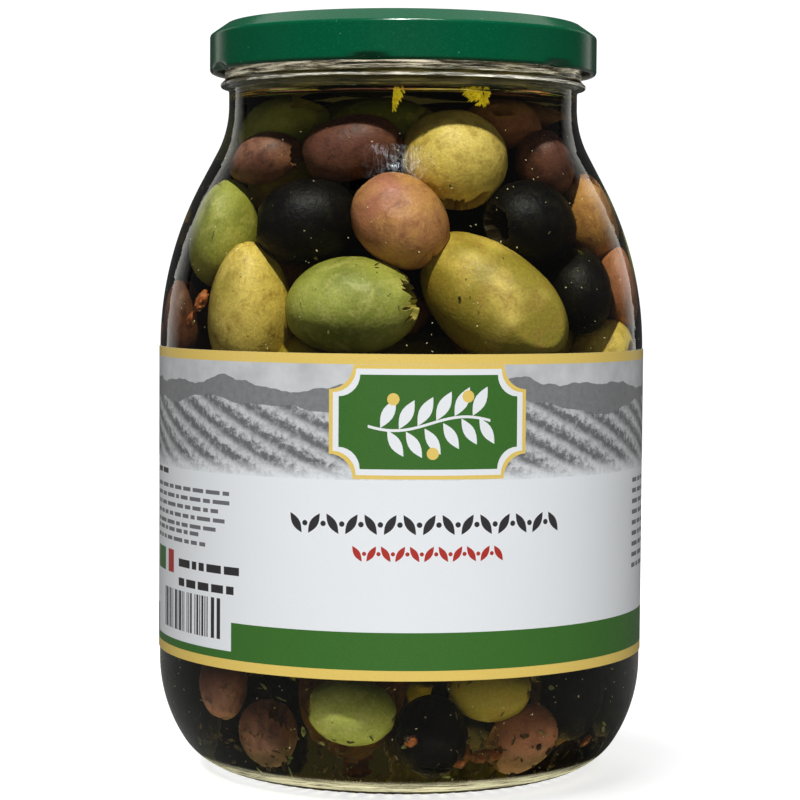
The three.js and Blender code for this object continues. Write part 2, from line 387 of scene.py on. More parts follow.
def glass_outside():
    body_foot = heel(BODY_RADIUS, 0, HEEL)
    bead_bottom = NECK_END + BEAD["fillet"]
    bead_top = bead_bottom + BEAD["height"]
    bead_r = BEAD["radius"] - BEAD["round"]
    round_start = RIM_TOP - RIM_OUTER_ROUND
    finish_start = (FINISH_RADIUS, bead_top + BEAD["shoulder"])
    return (
        dome(BEARING_INNER_RADIUS, 0, PUSH_UP, OUTER_DOME_STEPS)
        + [(BEARING_INNER_RADIUS, 0)]
        + body_foot
        + line(body_foot[-1], (BODY_RADIUS, SHOULDER_START), 12)[1:]
        + shoulder(0)
        + arc(NECK_RADIUS + BEAD["fillet"], NECK_END, BEAD["fillet"], 180, 90, 6)
        + arc(bead_r, bead_bottom + BEAD["round"], BEAD["round"], -90, 0, 3)
        + arc(bead_r, bead_top - BEAD["round"], BEAD["round"], 0, 60, 3)
        + line(finish_start, (FINISH_RADIUS, round_start), 30)
        + arc(FINISH_RADIUS - RIM_OUTER_ROUND, round_start, RIM_OUTER_ROUND, 0, 90, 5)
    )


def glass_inside(inset=WALL):
    """The inner face from the middle of the floor up to the rim."""
    floor_height = FLOOR_HEIGHT - (inset - WALL)
    foot = heel(BODY_RADIUS - inset, floor_height, INNER_HEEL)
    mouth = NECK_RADIUS - inset
    return (
        dome(foot[0][0], floor_height, FLOOR_CROWN, INNER_DOME_STEPS)
        + foot
        + line(foot[-1], (BODY_RADIUS - inset, SHOULDER_START), 10)[1:]
        + shoulder(inset)
        + [(mouth, MENISCUS_TOP)]
        + arc(mouth + RIM_INNER_ROUND, RIM_TOP - RIM_INNER_ROUND, RIM_INNER_ROUND, 180, 90, 4)
    )


def oil_profile():
    """The contents from the floor up the wall, over the raised edge of the surface, to the middle."""
    wall = [point for point in glass_inside(WALL - OIL_INTO_WALL) if point[1] < OIL_LEVEL]
    mouth = NECK_RADIUS - WALL + OIL_INTO_WALL
    surface = []
    for i in range(MENISCUS_STEPS + 1):
        share = i / MENISCUS_STEPS
        rise = (MENISCUS_TOP - OIL_LEVEL) * (1 - share) ** 3
        surface.append((mouth - MENISCUS_WIDTH * share, OIL_LEVEL + rise))
    return wall + surface + [(mouth * 0.5, OIL_LEVEL), (0, OIL_LEVEL)]


# Meshes

def object_from(name, vertices, faces, materials, face_slots=None, smooth=True):
    mesh = bpy.data.meshes.new(name)
    mesh.from_pydata([tuple(v) for v in vertices], [], faces)
    for material in materials:
        mesh.materials.append(material)
    if face_slots is not None:
        mesh.polygons.foreach_set("material_index", np.asarray(face_slots, dtype=np.int32))
    mesh.polygons.foreach_set("use_smooth", np.full(len(mesh.polygons), smooth))
    mesh.update()
    mesh.set_sharp_from_angle(angle=math.radians(SHARP_ANGLE))
    return placed(name, mesh)


def placed(name, data):
    """A new object in the scene."""
    item = bpy.data.objects.new(name, data)
    bpy.context.scene.collection.objects.link(item)
    return item


def stand_in(piece, node):
    """Lets a piece take the place of one node of the solid model."""
    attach(piece, "root")
    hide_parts(node)
    return piece


def revolve(profile, segments, move=None):
    """A profile in millimetres turned round +Z: vertices in metres, faces, and each face's profile step.

    Points on the axis become one vertex. move(radius, height, angle) may shift a point.
    """
    vertices = []
    rings = []
    for radius, height in profile:
        if radius < TINY:
            rings.append([len(vertices)] * segments)
            vertices.append((0, 0, height * MM))
            continue
        rings.append(list(range(len(vertices), len(vertices) + segments)))
        for i in range(segments):
            angle = 2 * math.pi * i / segments
            r, z = move(radius, height, angle) if move else (radius, height)
            vertices.append((r * MM * math.cos(angle), r * MM * math.sin(angle), z * MM))
    faces = []
    steps = []
    for k, (low, high) in enumerate(zip(rings, rings[1:])):
        for i in range(segments):
            j = (i + 1) % segments
            faces.append(list(dict.fromkeys([low[i], low[j], high[j], high[i]])))
            steps.append(k)
    return vertices, faces, steps


def joined(parts):
    """Many small meshes, in millimetres, as one: vertices in metres, and faces."""
    vertices, faces, first = [], [], 0
    for points, part_faces in parts:
        vertices.append(points * MM)
        faces += [tuple(first + i for i in face) for face in part_faces]
        first += len(points)
    return np.concatenate(vertices), faces


def mark(piece, name, values):
    """Stores one value for each vertex as a named attribute."""
    attribute = piece.data.attributes.new(name, "FLOAT", "POINT")
    attribute.data.foreach_set("value", np.asarray(values, dtype=np.float32))


# Materials

class Tree:
    """Short calls for building a node tree. A socket value may be a number, a colour or another socket."""

    def __init__(self, owner):
        owner.use_nodes = True
        self.owner = owner
        self.nodes = owner.node_tree.nodes
        self.links = owner.node_tree.links
        self.nodes.clear()

    def node(self, kind, inputs=(), **settings):
        node = self.nodes.new("ShaderNode" + kind)
        for name, value in settings.items():
            setattr(node, name, value)
        for name, value in dict(inputs).items():
            if isinstance(value, bpy.types.NodeSocket):
                self.links.new(value, node.inputs[name])
            else:
                node.inputs[name].default_value = value
        return node

    def add(self, kind, inputs=(), output=0, **settings):
        """Makes a node and gives one of its outputs."""
        return self.node(kind, inputs, **settings).outputs[output]

    def math(self, operation, first, second=0.0):
        return self.add("Math", {0: first, 1: second}, operation=operation)

    def plus(self, first, second):
        return self.math("ADD", first, second)

    def times(self, first, second):
        return self.math("MULTIPLY", first, second)

    def vector(self, operation, first, second=(0, 0, 0), output=0):
        return self.add("VectorMath", {0: first, 1: second}, output, operation=operation)

    def millimetres(self):
        """The point on the object, in millimetres."""
        place = self.add("TexCoord", output="Object")
        return self.add("VectorMath", {0: place, "Scale": 1 / MM}, operation="SCALE")

    def axes(self, vector):
        return self.node("SeparateXYZ", {0: vector}).outputs

    def noise(self, vector, scale, detail=3.0, roughness=0.55, distortion=0.0):
        """Smooth noise round 0.5. scale is its bumps to each unit of the vector."""
        inputs = {"Vector": vector, "Scale": scale, "Detail": detail, "Roughness": roughness}
        return self.add("TexNoise", {**inputs, "Distortion": distortion}, "Fac")

    def cells(self, vector, scale):
        """How far the nearest of many scattered points is."""
        return self.add("TexVoronoi", {"Vector": vector, "Scale": scale}, "Distance")

    def window(self, value, low, high, to_low=0.0, to_high=1.0):
        """value spread from low..high to to_low..to_high and kept inside."""
        inputs = {"Value": value, "From Min": low, "From Max": high, "To Min": to_low, "To Max": to_high}
        return self.add("MapRange", inputs, clamp=True)

    def blend(self, share, first, second, mode="MIX"):
        inputs = {"Factor": share, 6: first, 7: second}
        return self.add("Mix", inputs, 2, data_type="RGBA", blend_type=mode, clamp_factor=True)

    def shaded(self, colour, share):
        """A colour made darker or paler by a share."""
        level = self.add("CombineColor", {0: share, 1: share, 2: share})
        return self.blend(1.0, colour, level, "MULTIPLY")

    def attribute(self, name):
        return self.add("Attribute", output="Fac", attribute_name=name)

    def bump(self, height, distance, strength=0.5):
        return self.add("Bump", {"Height": height, "Distance": distance, "Strength": strength})

    def ray(self, kind):
        return self.add("LightPath", output=kind)

    def mix(self, share, first, second):
        return self.add("MixShader", {0: share, 1: first, 2: second})

    def diffuse(self, colour):
        return self.add("BsdfDiffuse", {"Color": colour})

    def emission(self, colour, strength):
        return self.add("Emission", {"Color": colour, "Strength": strength})

    def principled(self, colour, roughness, inputs=()):
        return self.add("BsdfPrincipled", {"Base Color": colour, "Roughness": roughness, **dict(inputs)})

    def finish(self, surface, volume=None):
        """Sets what the material shows, and gives the material."""
        inputs = {"Surface": surface, "Volume": volume} if volume else {"Surface": surface}
        self.node("OutputMaterial", inputs)
        return self.owner


def new_tree(name):
    return Tree(bpy.data.materials.new(name))


def clear_surface(tree, tint, index, inputs=()):
    """Glass that bends what is seen through it and lets the lamps' light straight in."""
    bends = tree.add("BsdfGlass", {"Color": tint, "Roughness": 0.0, "IOR": index, **dict(inputs)})
    passes = tree.add("BsdfTransparent", {"Color": tint})
    return tree.mix(tree.ray("Is Shadow Ray"), bends, passes)


def absorption(tree, colour, density):
    return tree.add("VolumeAbsorption", {"Color": colour, "Density": density})


def glass_material():
    """Clear glass with slow waves and a fine grain."""
    tree = new_tree("jar_glass")
    place = tree.millimetres()
    waves = tree.noise(place, 0.16, 2.0, 0.5)
    grain = tree.noise(place, 1.1, 2.0, 0.5)
    height = tree.plus(waves, tree.times(grain, 0.035))
    surface = clear_surface(tree, GLASS_TINT, GLASS_INDEX, {"Normal": tree.bump(height, GLASS_WAVE)})
    return tree.finish(surface, absorption(tree, GLASS_DEPTH_COLOUR, GLASS_DENSITY))


def glass_with_diffuse(tree, colour, share):
    """Clear glass with a share of it turned to a lit diffuse colour."""
    clear = clear_surface(tree, GLASS_TINT, GLASS_INDEX)
    return tree.finish(tree.mix(share, clear, tree.diffuse(colour)))


def streaked_glass_material(name, colour, share, streaks, fade=NO_FADE):
    """Glass with a diffuse colour in level streaks, which fades out between two heights."""
    tree = new_tree(name)
    place = tree.millimetres()
    noise = tree.noise(tree.vector("MULTIPLY", place, STREAK_STRETCH), 1.0, 6.0, 0.75)
    streaked = tree.window(noise, *streaks, 0.0, share)
    return glass_with_diffuse(tree, colour, tree.times(streaked, tree.window(tree.axes(place)[2], *fade, 1.0, 0.0)))


def knurl_material():
    """Painted glints on the ribs of the ring that the jar stands on: one pale diffuse spot on each rib."""
    tree = new_tree("painted_rib_glints")
    x, y, _ = tree.axes(tree.millimetres())
    rib = tree.math("COSINE", tree.times(tree.math("ARCTAN2", y, x), KNURL["count"]))
    return glass_with_diffuse(tree, linear(250, 246, 226), tree.window(rib, 0.0, 0.9, 0.05, 0.95))


def wet_glass_material():
    """The inside of the glass where the oil wets it: the two hardly differ, so nothing shows."""
    tree = new_tree("wet_glass")
    return tree.finish(tree.add("BsdfTransparent", {"Color": WHITE}))


def glass_materials():
    """In the order of GLASS_SLOTS."""
    return [
        glass_material(),
        wet_glass_material(),
        streaked_glass_material("streaked_neck", linear(130, 112, 58), 0.75, (0.46, 0.66)),
        knurl_material(),
        # Painted light at the foot: a pale beige band in place of the table's light seen through the thick
        # base
        streaked_glass_material("painted_foot_light", linear(222, 216, 174), 0.95, (0.34, 0.56), FOOT_FADE),
        # Painted reflections: a pale line along the bead, and a pale streaky band on the collar under the lid
        streaked_glass_material("painted_bead_reflection", linear(250, 246, 230), 0.9, (0.44, 0.62)),
        streaked_glass_material("painted_collar_reflection", linear(246, 236, 208), 0.9, (0.45, 0.62)),
    ]


def oil_material(name, index):
    tree = new_tree(name)
    return tree.finish(clear_surface(tree, WHITE, index), absorption(tree, OIL_COLOUR, OIL_DENSITY))


def lid_paint_material():
    """Dark green lacquer with a faint grain, rare pale dots that are painted sparkle, and a slight orange
    peel.
    """
    tree = new_tree("lid_lacquer")
    place = tree.millimetres()
    base = tree.blend(tree.noise(place, 0.12, 4.0), linear(0, 78, 48), linear(0, 86, 54))
    grain = tree.window(tree.noise(place, 3.4, 3.0, 0.8), 0.52, 0.75, 0.0, 0.5)
    colour = tree.blend(grain, base, linear(40, 120, 88))
    # Painted sparkle: the rare pale dots are in the base colour
    dots = tree.window(tree.cells(place, 0.45), 0.03, 0.07, 1.0, 0.0)
    rare = tree.math("GREATER_THAN", tree.noise(place, 0.31, 2.0), 0.56)
    colour = tree.blend(tree.times(dots, rare), colour, linear(120, 175, 150))
    roughness = tree.window(tree.noise(place, 0.7, 5.0), 0.2, 0.8, 0.15, 0.21)
    peel = tree.bump(tree.noise(place, 1.4), PAINT_PEEL)
    return tree.finish(tree.principled(colour, roughness, {"Normal": peel, "Specular IOR Level": 0.34}))


def lid_inside_material():
    tree = new_tree("lid_inside_lacquer")
    colour = tree.blend(tree.noise(tree.millimetres(), 0.9), linear(205, 205, 198), linear(225, 224, 216))
    return tree.finish(tree.principled(colour, 0.35, {"Metallic": 0.6}))


def olive_colour(tree, place, look):
    """Two broad colours with mottling, fibres, small specks, and cut flesh at the hole.

    Each olive leans to skin or patch by its own tone. Also gives the share that is speck.
    """
    tone = tree.times(tree.math("SUBTRACT", tree.attribute("tone"), 0.5), 0.42)
    broad = tree.plus(tree.noise(place, look["patch_scale"], 2.0, 0.5), tone)
    colour = tree.blend(tree.window(broad, 0.40, 0.60), look["skin"], look["patch"])
    blotch = tree.window(tree.noise(place, 0.30, 6.0, 0.68, 0.5), 0.48, 0.70, 0.0, 0.9)
    colour = tree.blend(blotch, colour, look["mottle"])
    colour = tree.shaded(colour, tree.window(tree.noise(place, 1.7, 5.0, 0.7), 0.3, 0.75, 0.72, 1.12))
    size = tree.window(tree.noise(place, 0.5, 1.0), 0.45, 0.75, 0.0, look["speck_size"])
    dots = tree.window(tree.math("SUBTRACT", tree.cells(place, 0.62), size), -0.05, 0.0, 1.0, 0.0)
    colour = tree.blend(tree.times(dots, 0.8), colour, look["speck"])
    torn = tree.blend(tree.noise(place, 0.9, 4.0), look["flesh"], look["mottle"])
    return tree.blend(tree.window(tree.attribute("flesh"), 0.2, 0.8), colour, torn), dots


def olive_material(kind):
    """An olive's skin under oil: a weak, soft gloss and a little light let through."""
    tree = new_tree(f"{kind}_olive_skin")
    place = tree.millimetres()
    colour, dots = olive_colour(tree, place, OLIVE_SKINS[kind])
    roughness = tree.window(tree.noise(place, 0.9), 0.3, 0.7, 0.36, 0.58)
    pores = tree.plus(tree.noise(place, 1.3, 4.0, 0.6), tree.times(dots, -0.35))
    is_black = kind == "black"
    normal = tree.bump(pores, BLACK_WRINKLE if is_black else SKIN_WRINKLE, 0.6)
    gloss = {**SKIN_GLOSS, **BLACK_GLOSS} if is_black else SKIN_GLOSS
    return tree.finish(tree.principled(colour, roughness, {"Normal": normal, **gloss}))


def varnished(tree, colour):
    """Printed paper under a thin satin varnish."""
    place = tree.millimetres()
    roughness = tree.window(tree.noise(place, 0.8, 4.0), 0.3, 0.7, 0.36, 0.46)
    height = tree.plus(tree.noise(place, 2.4), tree.times(tree.noise(place, 0.05, 2.0), 6.0))
    inputs = {"Normal": tree.bump(height, PAPER_GRAIN), "Specular IOR Level": 0.35}
    return tree.finish(tree.principled(colour, roughness, inputs))


def ink_material(name, colour, spread=0.04):
    """One flat ink, uneven by a small share as print is."""
    tree = new_tree(name)
    grain = tree.noise(tree.millimetres(), 3.0, 3.0, 0.7)
    return varnished(tree, tree.shaded(colour, tree.window(grain, 0.3, 0.7, 1 - spread, 1 + spread)))


def landscape_material():
    """A grey print of far hills, a pale sky and rows of bushes that fade out downward."""
    tree = new_tree("print_landscape")
    flat = tree.vector("MULTIPLY", tree.add("UVMap"), (LABEL_LENGTH, LABEL_HEIGHT, 0))
    u, v, _ = tree.axes(flat)
    along = tree.add("CombineXYZ", {0: u})
    hill = tree.window(tree.noise(along, 0.045, 4.0, 0.5), 0.3, 0.7, *FAR_HILLS)
    near_hill = tree.window(tree.noise(along, 0.03, 3.0, 0.45), 0.3, 0.7, *NEAR_HILLS)
    leaves = tree.noise(flat, 0.75, 6.0, 0.75)
    slant = tree.plus(v, tree.times(u, ROW_SLANT))
    rows = tree.math("SINE", tree.times(tree.plus(slant, tree.times(leaves, 3.0)), 1.5))
    cloud = tree.window(tree.noise(flat, 0.16), 0.35, 0.7)
    sky = tree.blend(cloud, LANDSCAPE_PALE, LANDSCAPE_SKY)
    far = tree.blend(leaves, LANDSCAPE_DARK, LANDSCAPE_MID)
    bushes = tree.window(tree.plus(leaves, tree.times(rows, 0.13)), 0.38, 0.66)
    near = tree.blend(bushes, LANDSCAPE_DARK, LANDSCAPE_PALE)
    near = tree.blend(tree.window(tree.noise(flat, 2.6, 4.0, 0.8), 0.35, 0.7, 0.0, 0.35), near, LANDSCAPE_MID)
    colour = tree.blend(tree.math("LESS_THAN", v, hill), sky, far)
    colour = tree.blend(tree.math("LESS_THAN", v, near_hill), colour, near)
    fade = tree.window(tree.plus(v, tree.times(leaves, -3.0)), *LANDSCAPE_FADE, 1.0, 0.0)
    return varnished(tree, tree.blend(fade, colour, PAPER_WHITE))


def label_materials():
    """In the order of INKS."""
    return [
        ink_material("paper_white", PAPER_WHITE, 0.015),
        landscape_material(),
        ink_material("print_green", linear(60, 108, 44), 0.10),
        ink_material("print_gold", linear(228, 198, 104), 0.05),
        ink_material("print_charcoal", linear(52, 50, 52)),
        ink_material("print_red", linear(176, 52, 44)),
        ink_material("print_grey", linear(112, 112, 116)),
    ]


def chip_material(name, first, second, inputs=()):
    """The skin of a small thing, in two colours."""
    tree = new_tree(name)
    place = tree.millimetres()
    share = tree.window(tree.noise(place, 0.9, 4.0, 0.6), 0.35, 0.65)
    normal = tree.bump(tree.noise(place, 3.0), CHIP_GRAIN)
    values = {"Normal": normal, "Specular IOR Level": 0.25, **dict(inputs)}
    return tree.finish(tree.principled(tree.blend(share, linear(*first), linear(*second)), 0.5, values))


def small_materials():
    return {
        "pale_specks": chip_material("pale_speck", (222, 210, 170), (186, 178, 128)),
        "herb_flakes": chip_material("dried_herb", (92, 98, 52), (132, 126, 74)),
        "olive_crumbs": chip_material("olive_crumb", (96, 70, 28), (44, 36, 16)),
        "dark_seeds": chip_material("dark_seed", (36, 26, 22), (60, 44, 34)),
        # Painted highlight: the glint chips glow by themselves
        "painted_oil_glints": chip_material("oil_glint", (250, 230, 60), (150, 124, 10), GLINT_GLOW),
        "chilli_bits": chip_material("chilli_bit", (170, 100, 52), (130, 66, 34)),
    }


# Camera, lights and floor

def make_camera():
    camera = bpy.data.cameras.new("camera")
    camera.sensor_width = SENSOR_MM
    camera.lens = FOCAL_PIXELS / FRAME_PIXELS * SENSOR_MM
    camera.clip_start = 0.05
    holder = placed("camera", camera)
    holder.location = (0, -CAMERA_DISTANCE, CAMERA_HEIGHT)
    holder.rotation_euler = CAMERA_TURN.to_euler()
    bpy.context.scene.camera = holder


def make_world():
    """White to the camera, and a dim studio to everything that the jar mirrors or bends."""
    world = bpy.data.worlds.new("studio")
    bpy.context.scene.world = world
    tree = Tree(world)
    dim = tree.add("Background", {"Color": grey(0.05)})
    white = tree.add("Background", {"Color": grey(1.1)})
    tree.node("OutputWorld", {"Surface": tree.mix(tree.ray("Is Camera Ray"), dim, white)})


def round_sheet(name, radius, height, sides, material):
    """A flat many-sided sheet that lies level, its sizes in metres. It isn't part of the jar."""
    ring = [(x, y, height) for x, y in disc(0, 0, radius, sides)]
    sheet = object_from(name, ring, [list(range(sides))], [material], smooth=False)
    return sheet


def make_floor():
    """A white sheet to the camera, and a dim one to the glass, as on a dark table under a white cut-out."""
    tree = new_tree("floor_paper")
    paper = tree.blend(tree.noise(tree.millimetres(), 0.3, 4.0), grey(0.86), grey(0.88))
    lit = tree.diffuse(tree.blend(1.0, paper, grey(0.55), "MULTIPLY"))
    white = tree.add("AddShader", {0: lit, 1: tree.emission(WHITE, 0.72)})
    dim = tree.diffuse((0.12, 0.12, 0.115, 1))
    material = tree.finish(tree.mix(tree.ray("Is Camera Ray"), dim, white))
    return round_sheet("floor", FLOOR_RADIUS, 0, 96, material)


def linked(name, objects, state):
    """A collection for light linking, with every object in one state."""
    group = bpy.data.collections.new(name)
    for thing in objects:
        group.objects.link(thing)
    for item in group.collection_objects:
        item.light_linking.link_state = state
    return group


def light_only(lamp, *objects):
    lamp.light_linking.receiver_collection = linked(f"{lamp.name}_only", objects, "INCLUDE")


def light_all_but(lamp, *objects):
    lamp.light_linking.receiver_collection = linked(f"{lamp.name}_not", objects, "EXCLUDE")


def shine_through(lamp, floor):
    """Lets a lamp that stands below the floor shine through it."""
    lamp.light_linking.blocker_collection = linked(f"{lamp.name}_open", [floor], "EXCLUDE")


def hide(item, rays):
    for ray in rays:
        setattr(item, f"visible_{ray}", False)


def towards(azimuth, elevation):
    """The unit step from the jar to a lamp."""
    a, e = math.radians(azimuth), math.radians(elevation)
    return Vector((math.sin(a) * math.cos(e), -math.cos(a) * math.cos(e), math.sin(e)))


def sun(name, azimuth, elevation, strength, angle):
    lamp = bpy.data.lights.new(name, "SUN")
    lamp.energy = strength
    lamp.angle = math.radians(angle)
    holder = placed(name, lamp)
    holder.rotation_euler = (math.radians(90 - elevation), 0, math.radians(azimuth))
    return holder


def soft_light(name, azimuth, elevation, distance, size, power):
    """A large lamp that lights softly and leaves no reflection."""
    lamp = bpy.data.lights.new(name, "AREA")
    lamp.energy = power
    lamp.size = size
    holder = placed(name, lamp)
    holder.location = LAMP_TARGET + distance * towards(azimuth, elevation)
    holder.rotation_euler = (holder.location - LAMP_TARGET).to_track_quat("Z", "Y").to_euler()
    hide(holder, ("camera", "glossy", "transmission"))
    return holder


def card(name, corners, material, hidden):
    """A flat four-cornered light, unseen by some kinds of ray. It isn't part of the jar."""
    sheet = object_from(name, corners, [[0, 1, 2, 3]], [material], smooth=False)
    layer = sheet.data.uv_layers.new(name="across")
    for loop, value in zip(layer.data, rectangle(0, 0, 1, 1)):
        loop.uv = value
    hide(sheet, hidden)
    return sheet


def side_panel(name, side):
    """A tall white panel behind the jar, whose reflection draws the pale line along the edge."""
    near, far = (towards(side * angle, 0) * PANEL["distance"] for angle in PANEL["angles"])
    low, high = (Vector((0, 0, height)) for height in PANEL["heights"])
    tree = new_tree(name)
    across = tree.axes(tree.add("UVMap"))[0]
    glow = tree.times(tree.math("POWER", across, PANEL["fall"]), PANEL["strength"])
    material = tree.finish(tree.emission((1, 0.98, 0.92, 1), glow))
    corners = [near + low, far + low, far + high, near + high]
    card(name, corners, material, ("camera", "transmission", "shadow"))


def base_glow():
    """The light that comes up through the foot of the jar from the white table."""
    tree = new_tree("table_glow")
    material = tree.finish(tree.emission(BASE_GLOW["colour"], BASE_GLOW["strength"]))
    radius, height = BASE_GLOW["radius"] * MM, BASE_GLOW["height"] * MM
    hide(round_sheet("table_glow", radius, height, 48, material), ["camera"])


def table_bounce(contents, floor):
    """Light that comes up from the table all round, for what lies behind the glass below the label."""
    for azimuth in BOUNCE_AZIMUTHS:
        lamp = soft_light(f"bounce_{azimuth}", azimuth, *BOUNCE)
        lamp.data.color = BOUNCE_COLOUR
        light_only(lamp, *contents)
        shine_through(lamp, floor)


def glass_only_lamps(glass, floor):
    """Low lamps that light only the glass: its streaked neck and painted reflections under the lid's
    overhang, and the painted light at the foot.
    """
    light_only(soft_light("neck_light", *NECK_LIGHT), glass)
    lamp = soft_light("foot_light", *FOOT_LIGHT)
    light_only(lamp, glass)
    shine_through(lamp, floor)


def key_glow_material():
    """A bluish glow that falls off from the middle and is broken into upright streaks."""
    tree = new_tree("key_card")
    place = tree.vector("SUBTRACT", tree.add("UVMap"), (0.5, 0.5, 0))
    radius = tree.vector("LENGTH", place, output="Value")
    streaks = tree.noise(tree.vector("MULTIPLY", place, KEY_STREAK), 1.0, 4.0, 0.8)
    fine = tree.window(streaks, 0.46, 0.62, 0.03, 1.0)
    broad = tree.window(tree.noise(place, 5.0, 3.0, 0.6), 0.35, 0.60, 0.3, 1.0)
    fall = tree.math("POWER", tree.window(radius, 0.0, 0.5, 1.0, 0.0), KEY_FALL)
    glow = tree.times(tree.times(fall, tree.times(fine, broad)), KEY_GLOW)
    return tree.finish(tree.emission((0.88, 0.93, 1, 1), glow))


def key_card(glass):
    """The key lamp as the glass mirrors it."""
    direction = towards(KEY_AZIMUTH, KEY_ELEVATION + KEY_CARD["rise"])
    middle = Vector(KEY_CARD["from"]) + direction * KEY_CARD["distance"]
    side = direction.cross(Vector((0, 0, 1))).normalized() * KEY_CARD["half_width"]
    up = side.cross(direction).normalized() * KEY_CARD["half_height"]
    corners = [middle - side - up, middle + side - up, middle + side + up, middle - side + up]
    light_only(card("key_card", corners, key_glow_material(), SEEN_IN_GLOSS_ONLY), glass)


def lid_cards(lid):
    """A pale ceiling behind the jar for the sloping rim of the lid, and a small bright one for its edge."""
    for name, ((left, right), near, far, strength) in LID_CARDS.items():
        corners = [(left, *near), (right, *near), (right, *far), (left, *far)]
        tree = new_tree(name)
        material = tree.finish(tree.emission((1, 0.99, 0.95, 1), strength))
        light_only(card(name, corners, material, SEEN_IN_GLOSS_ONLY), lid)


def make_studio():
    make_world()
    floor = make_floor()
    light_only(sun("floor_light", **FLOOR_LIGHT), floor)
    for name, settings in FILL_LIGHTS.items():
        soft_light(name, *settings)
    base_glow()
    side_panel("left_panel", -1)
    side_panel("right_panel", 1)
    return floor


def set_rendering():
    scene = bpy.context.scene
    scene.view_settings.view_transform = "Standard"
    for name, value in RAY_LIMITS.items():
        setattr(scene.cycles, name, value)


# The glass jar and its oil

def thread_height(angle):
    """How far the thread stands out at an angle, as (height of its middle, share of its full size)."""
    pitch = 360 / THREAD_COUNT
    along = ((math.degrees(angle) - THREAD["start"]) % pitch) / THREAD["sweep"]
    if along > 1:
        return THREAD["low"], 0.0
    ends = min(along, 1 - along) / THREAD["end_share"]
    return THREAD["low"] + (THREAD["high"] - THREAD["low"]) * along, min(1.0, ends)


def glass_point(radius, height, angle):
    """The thread on the finish, and the fine ribs on the ring that the jar stands on."""
    if radius > FINISH_RADIUS - 0.01 and height > THREAD["all_above"]:
        middle, size = thread_height(angle)
        across = abs(height - middle) / THREAD["half_width"]
        if across < 1:
            radius += THREAD["rise"] * size * math.cos(across * math.pi / 2)
    if height < KNURL["height"] and radius > KNURL["from_radius"]:
        rib = KNURL["depth"] * (0.5 - 0.5 * math.cos(angle * KNURL["count"]))
        height += rib if height < KNURL["flat_below"] else rib * (1 - height / KNURL["height"])
    return radius, height


def glass_slot(height, is_inside):
    """Which of the glass materials a face has, by its height and side."""
    if is_inside:
        return GLASS_SLOTS.index("wet" if height < MENISCUS_TOP else "dry neck")
    for name, (low, high) in PAINTED_LIGHT_ZONES.items():
        if low < height < high:
            return GLASS_SLOTS.index(name)
    return GLASS_SLOTS.index("glass")


def make_glass():
    outside = glass_outside()
    profile = outside + glass_inside()[::-1]
    vertices, faces, steps = revolve(profile, KNURL["count"] * POINTS_PER_RIB, glass_point)
    slots = []
    for step in steps:
        height = (profile[step][1] + profile[step + 1][1]) / 2
        slots.append(glass_slot(height, step >= len(outside)))
    return stand_in(object_from("jar_glass", vertices, faces, glass_materials(), slots), "glass_jar")


def make_oil():
    profile = oil_profile()
    vertices, faces, steps = revolve(profile, 192)
    top_from = next(i for i, point in enumerate(profile) if point[1] == MENISCUS_TOP)
    slots = [1 if step >= top_from else 0 for step in steps]
    at_glass = oil_material("oil_at_glass", OIL_AGAINST_GLASS_INDEX)
    materials = [at_glass, oil_material("oil_surface", OIL_INDEX)]
    stand_in(object_from("olive_oil", vertices, faces, materials, slots), "oil")


# The lid

def lid_outside():
    """The pressed sheet from the rolled edge up and in to the middle."""
    outer, inner = LID_RING["outer_round"], LID_RING["inner_round"]
    edge = arc(LID_RADIUS - LID_EDGE_ROUND, LID_SKIRT_TOP, LID_EDGE_ROUND, 0, 58, 7)
    ring = arc(LID_RING["outer"], LID_TOP - outer, outer, 50, 90, 4)
    ring += arc(LID_RING["inner"], LID_TOP - inner, inner, 90, 140, 4)
    panel = LID_TOP - LID_PANEL["drop"]
    button = panel - LID_BUTTON["drop"]
    rounding = LID_PANEL["round"]
    step = arc(LID_RING["inner"] - LID_PANEL["slope"], panel + rounding, rounding, -40, -90, 3)
    return (
        line((LID_RADIUS, LID_BOTTOM + LID_CURL_RADIUS), (LID_RADIUS, LID_SKIRT_TOP), 24)
        + edge + ring + step
        + line(step[-1], (LID_BUTTON["radius"], panel), 6)[1:]
        + [(LID_BUTTON["radius"], panel), (LID_BUTTON["radius"] - LID_BUTTON["slope"], button)]
        + [(LID_BUTTON["flat"], button), (0, button)]
    )


def lid_underside(outside):
    """The outside set down by the sheet's thickness, from the middle out to the skirt."""
    top = [(r, z) for r, z in outside if z > LID_UNDERSIDE["from_height"]]
    inner = [(max(0.0, r - LID_UNDERSIDE["inset"]), z - LID_SHEET) for r, z in top]
    wall = LID_RADIUS - LID_SHEET
    return inner[::-1] + [(wall, LID_SKIRT_TOP), (wall, LID_UNDERSIDE["skirt_end"])]


def lid_point(radius, height, angle):
    """The six places where the lower edge is pressed in to grip the thread."""
    if radius < LID_RADIUS - LUG["reach"] or height > LUG["high"]:
        return radius, height
    pitch = 360 / THREAD_COUNT
    offset = (math.degrees(angle) - LUG["angle"] + pitch / 2) % pitch - pitch / 2
    across = max(0.0, 1 - abs(offset) / LUG["half_width"])
    up = min(1.0, max(0.0, (LUG["high"] - height) / (LUG["high"] - LUG["low"])))
    return radius - LUG["depth"] * smooth_step(across) * up, height


def smooth_step(share):
    return share * share * (3 - 2 * share)


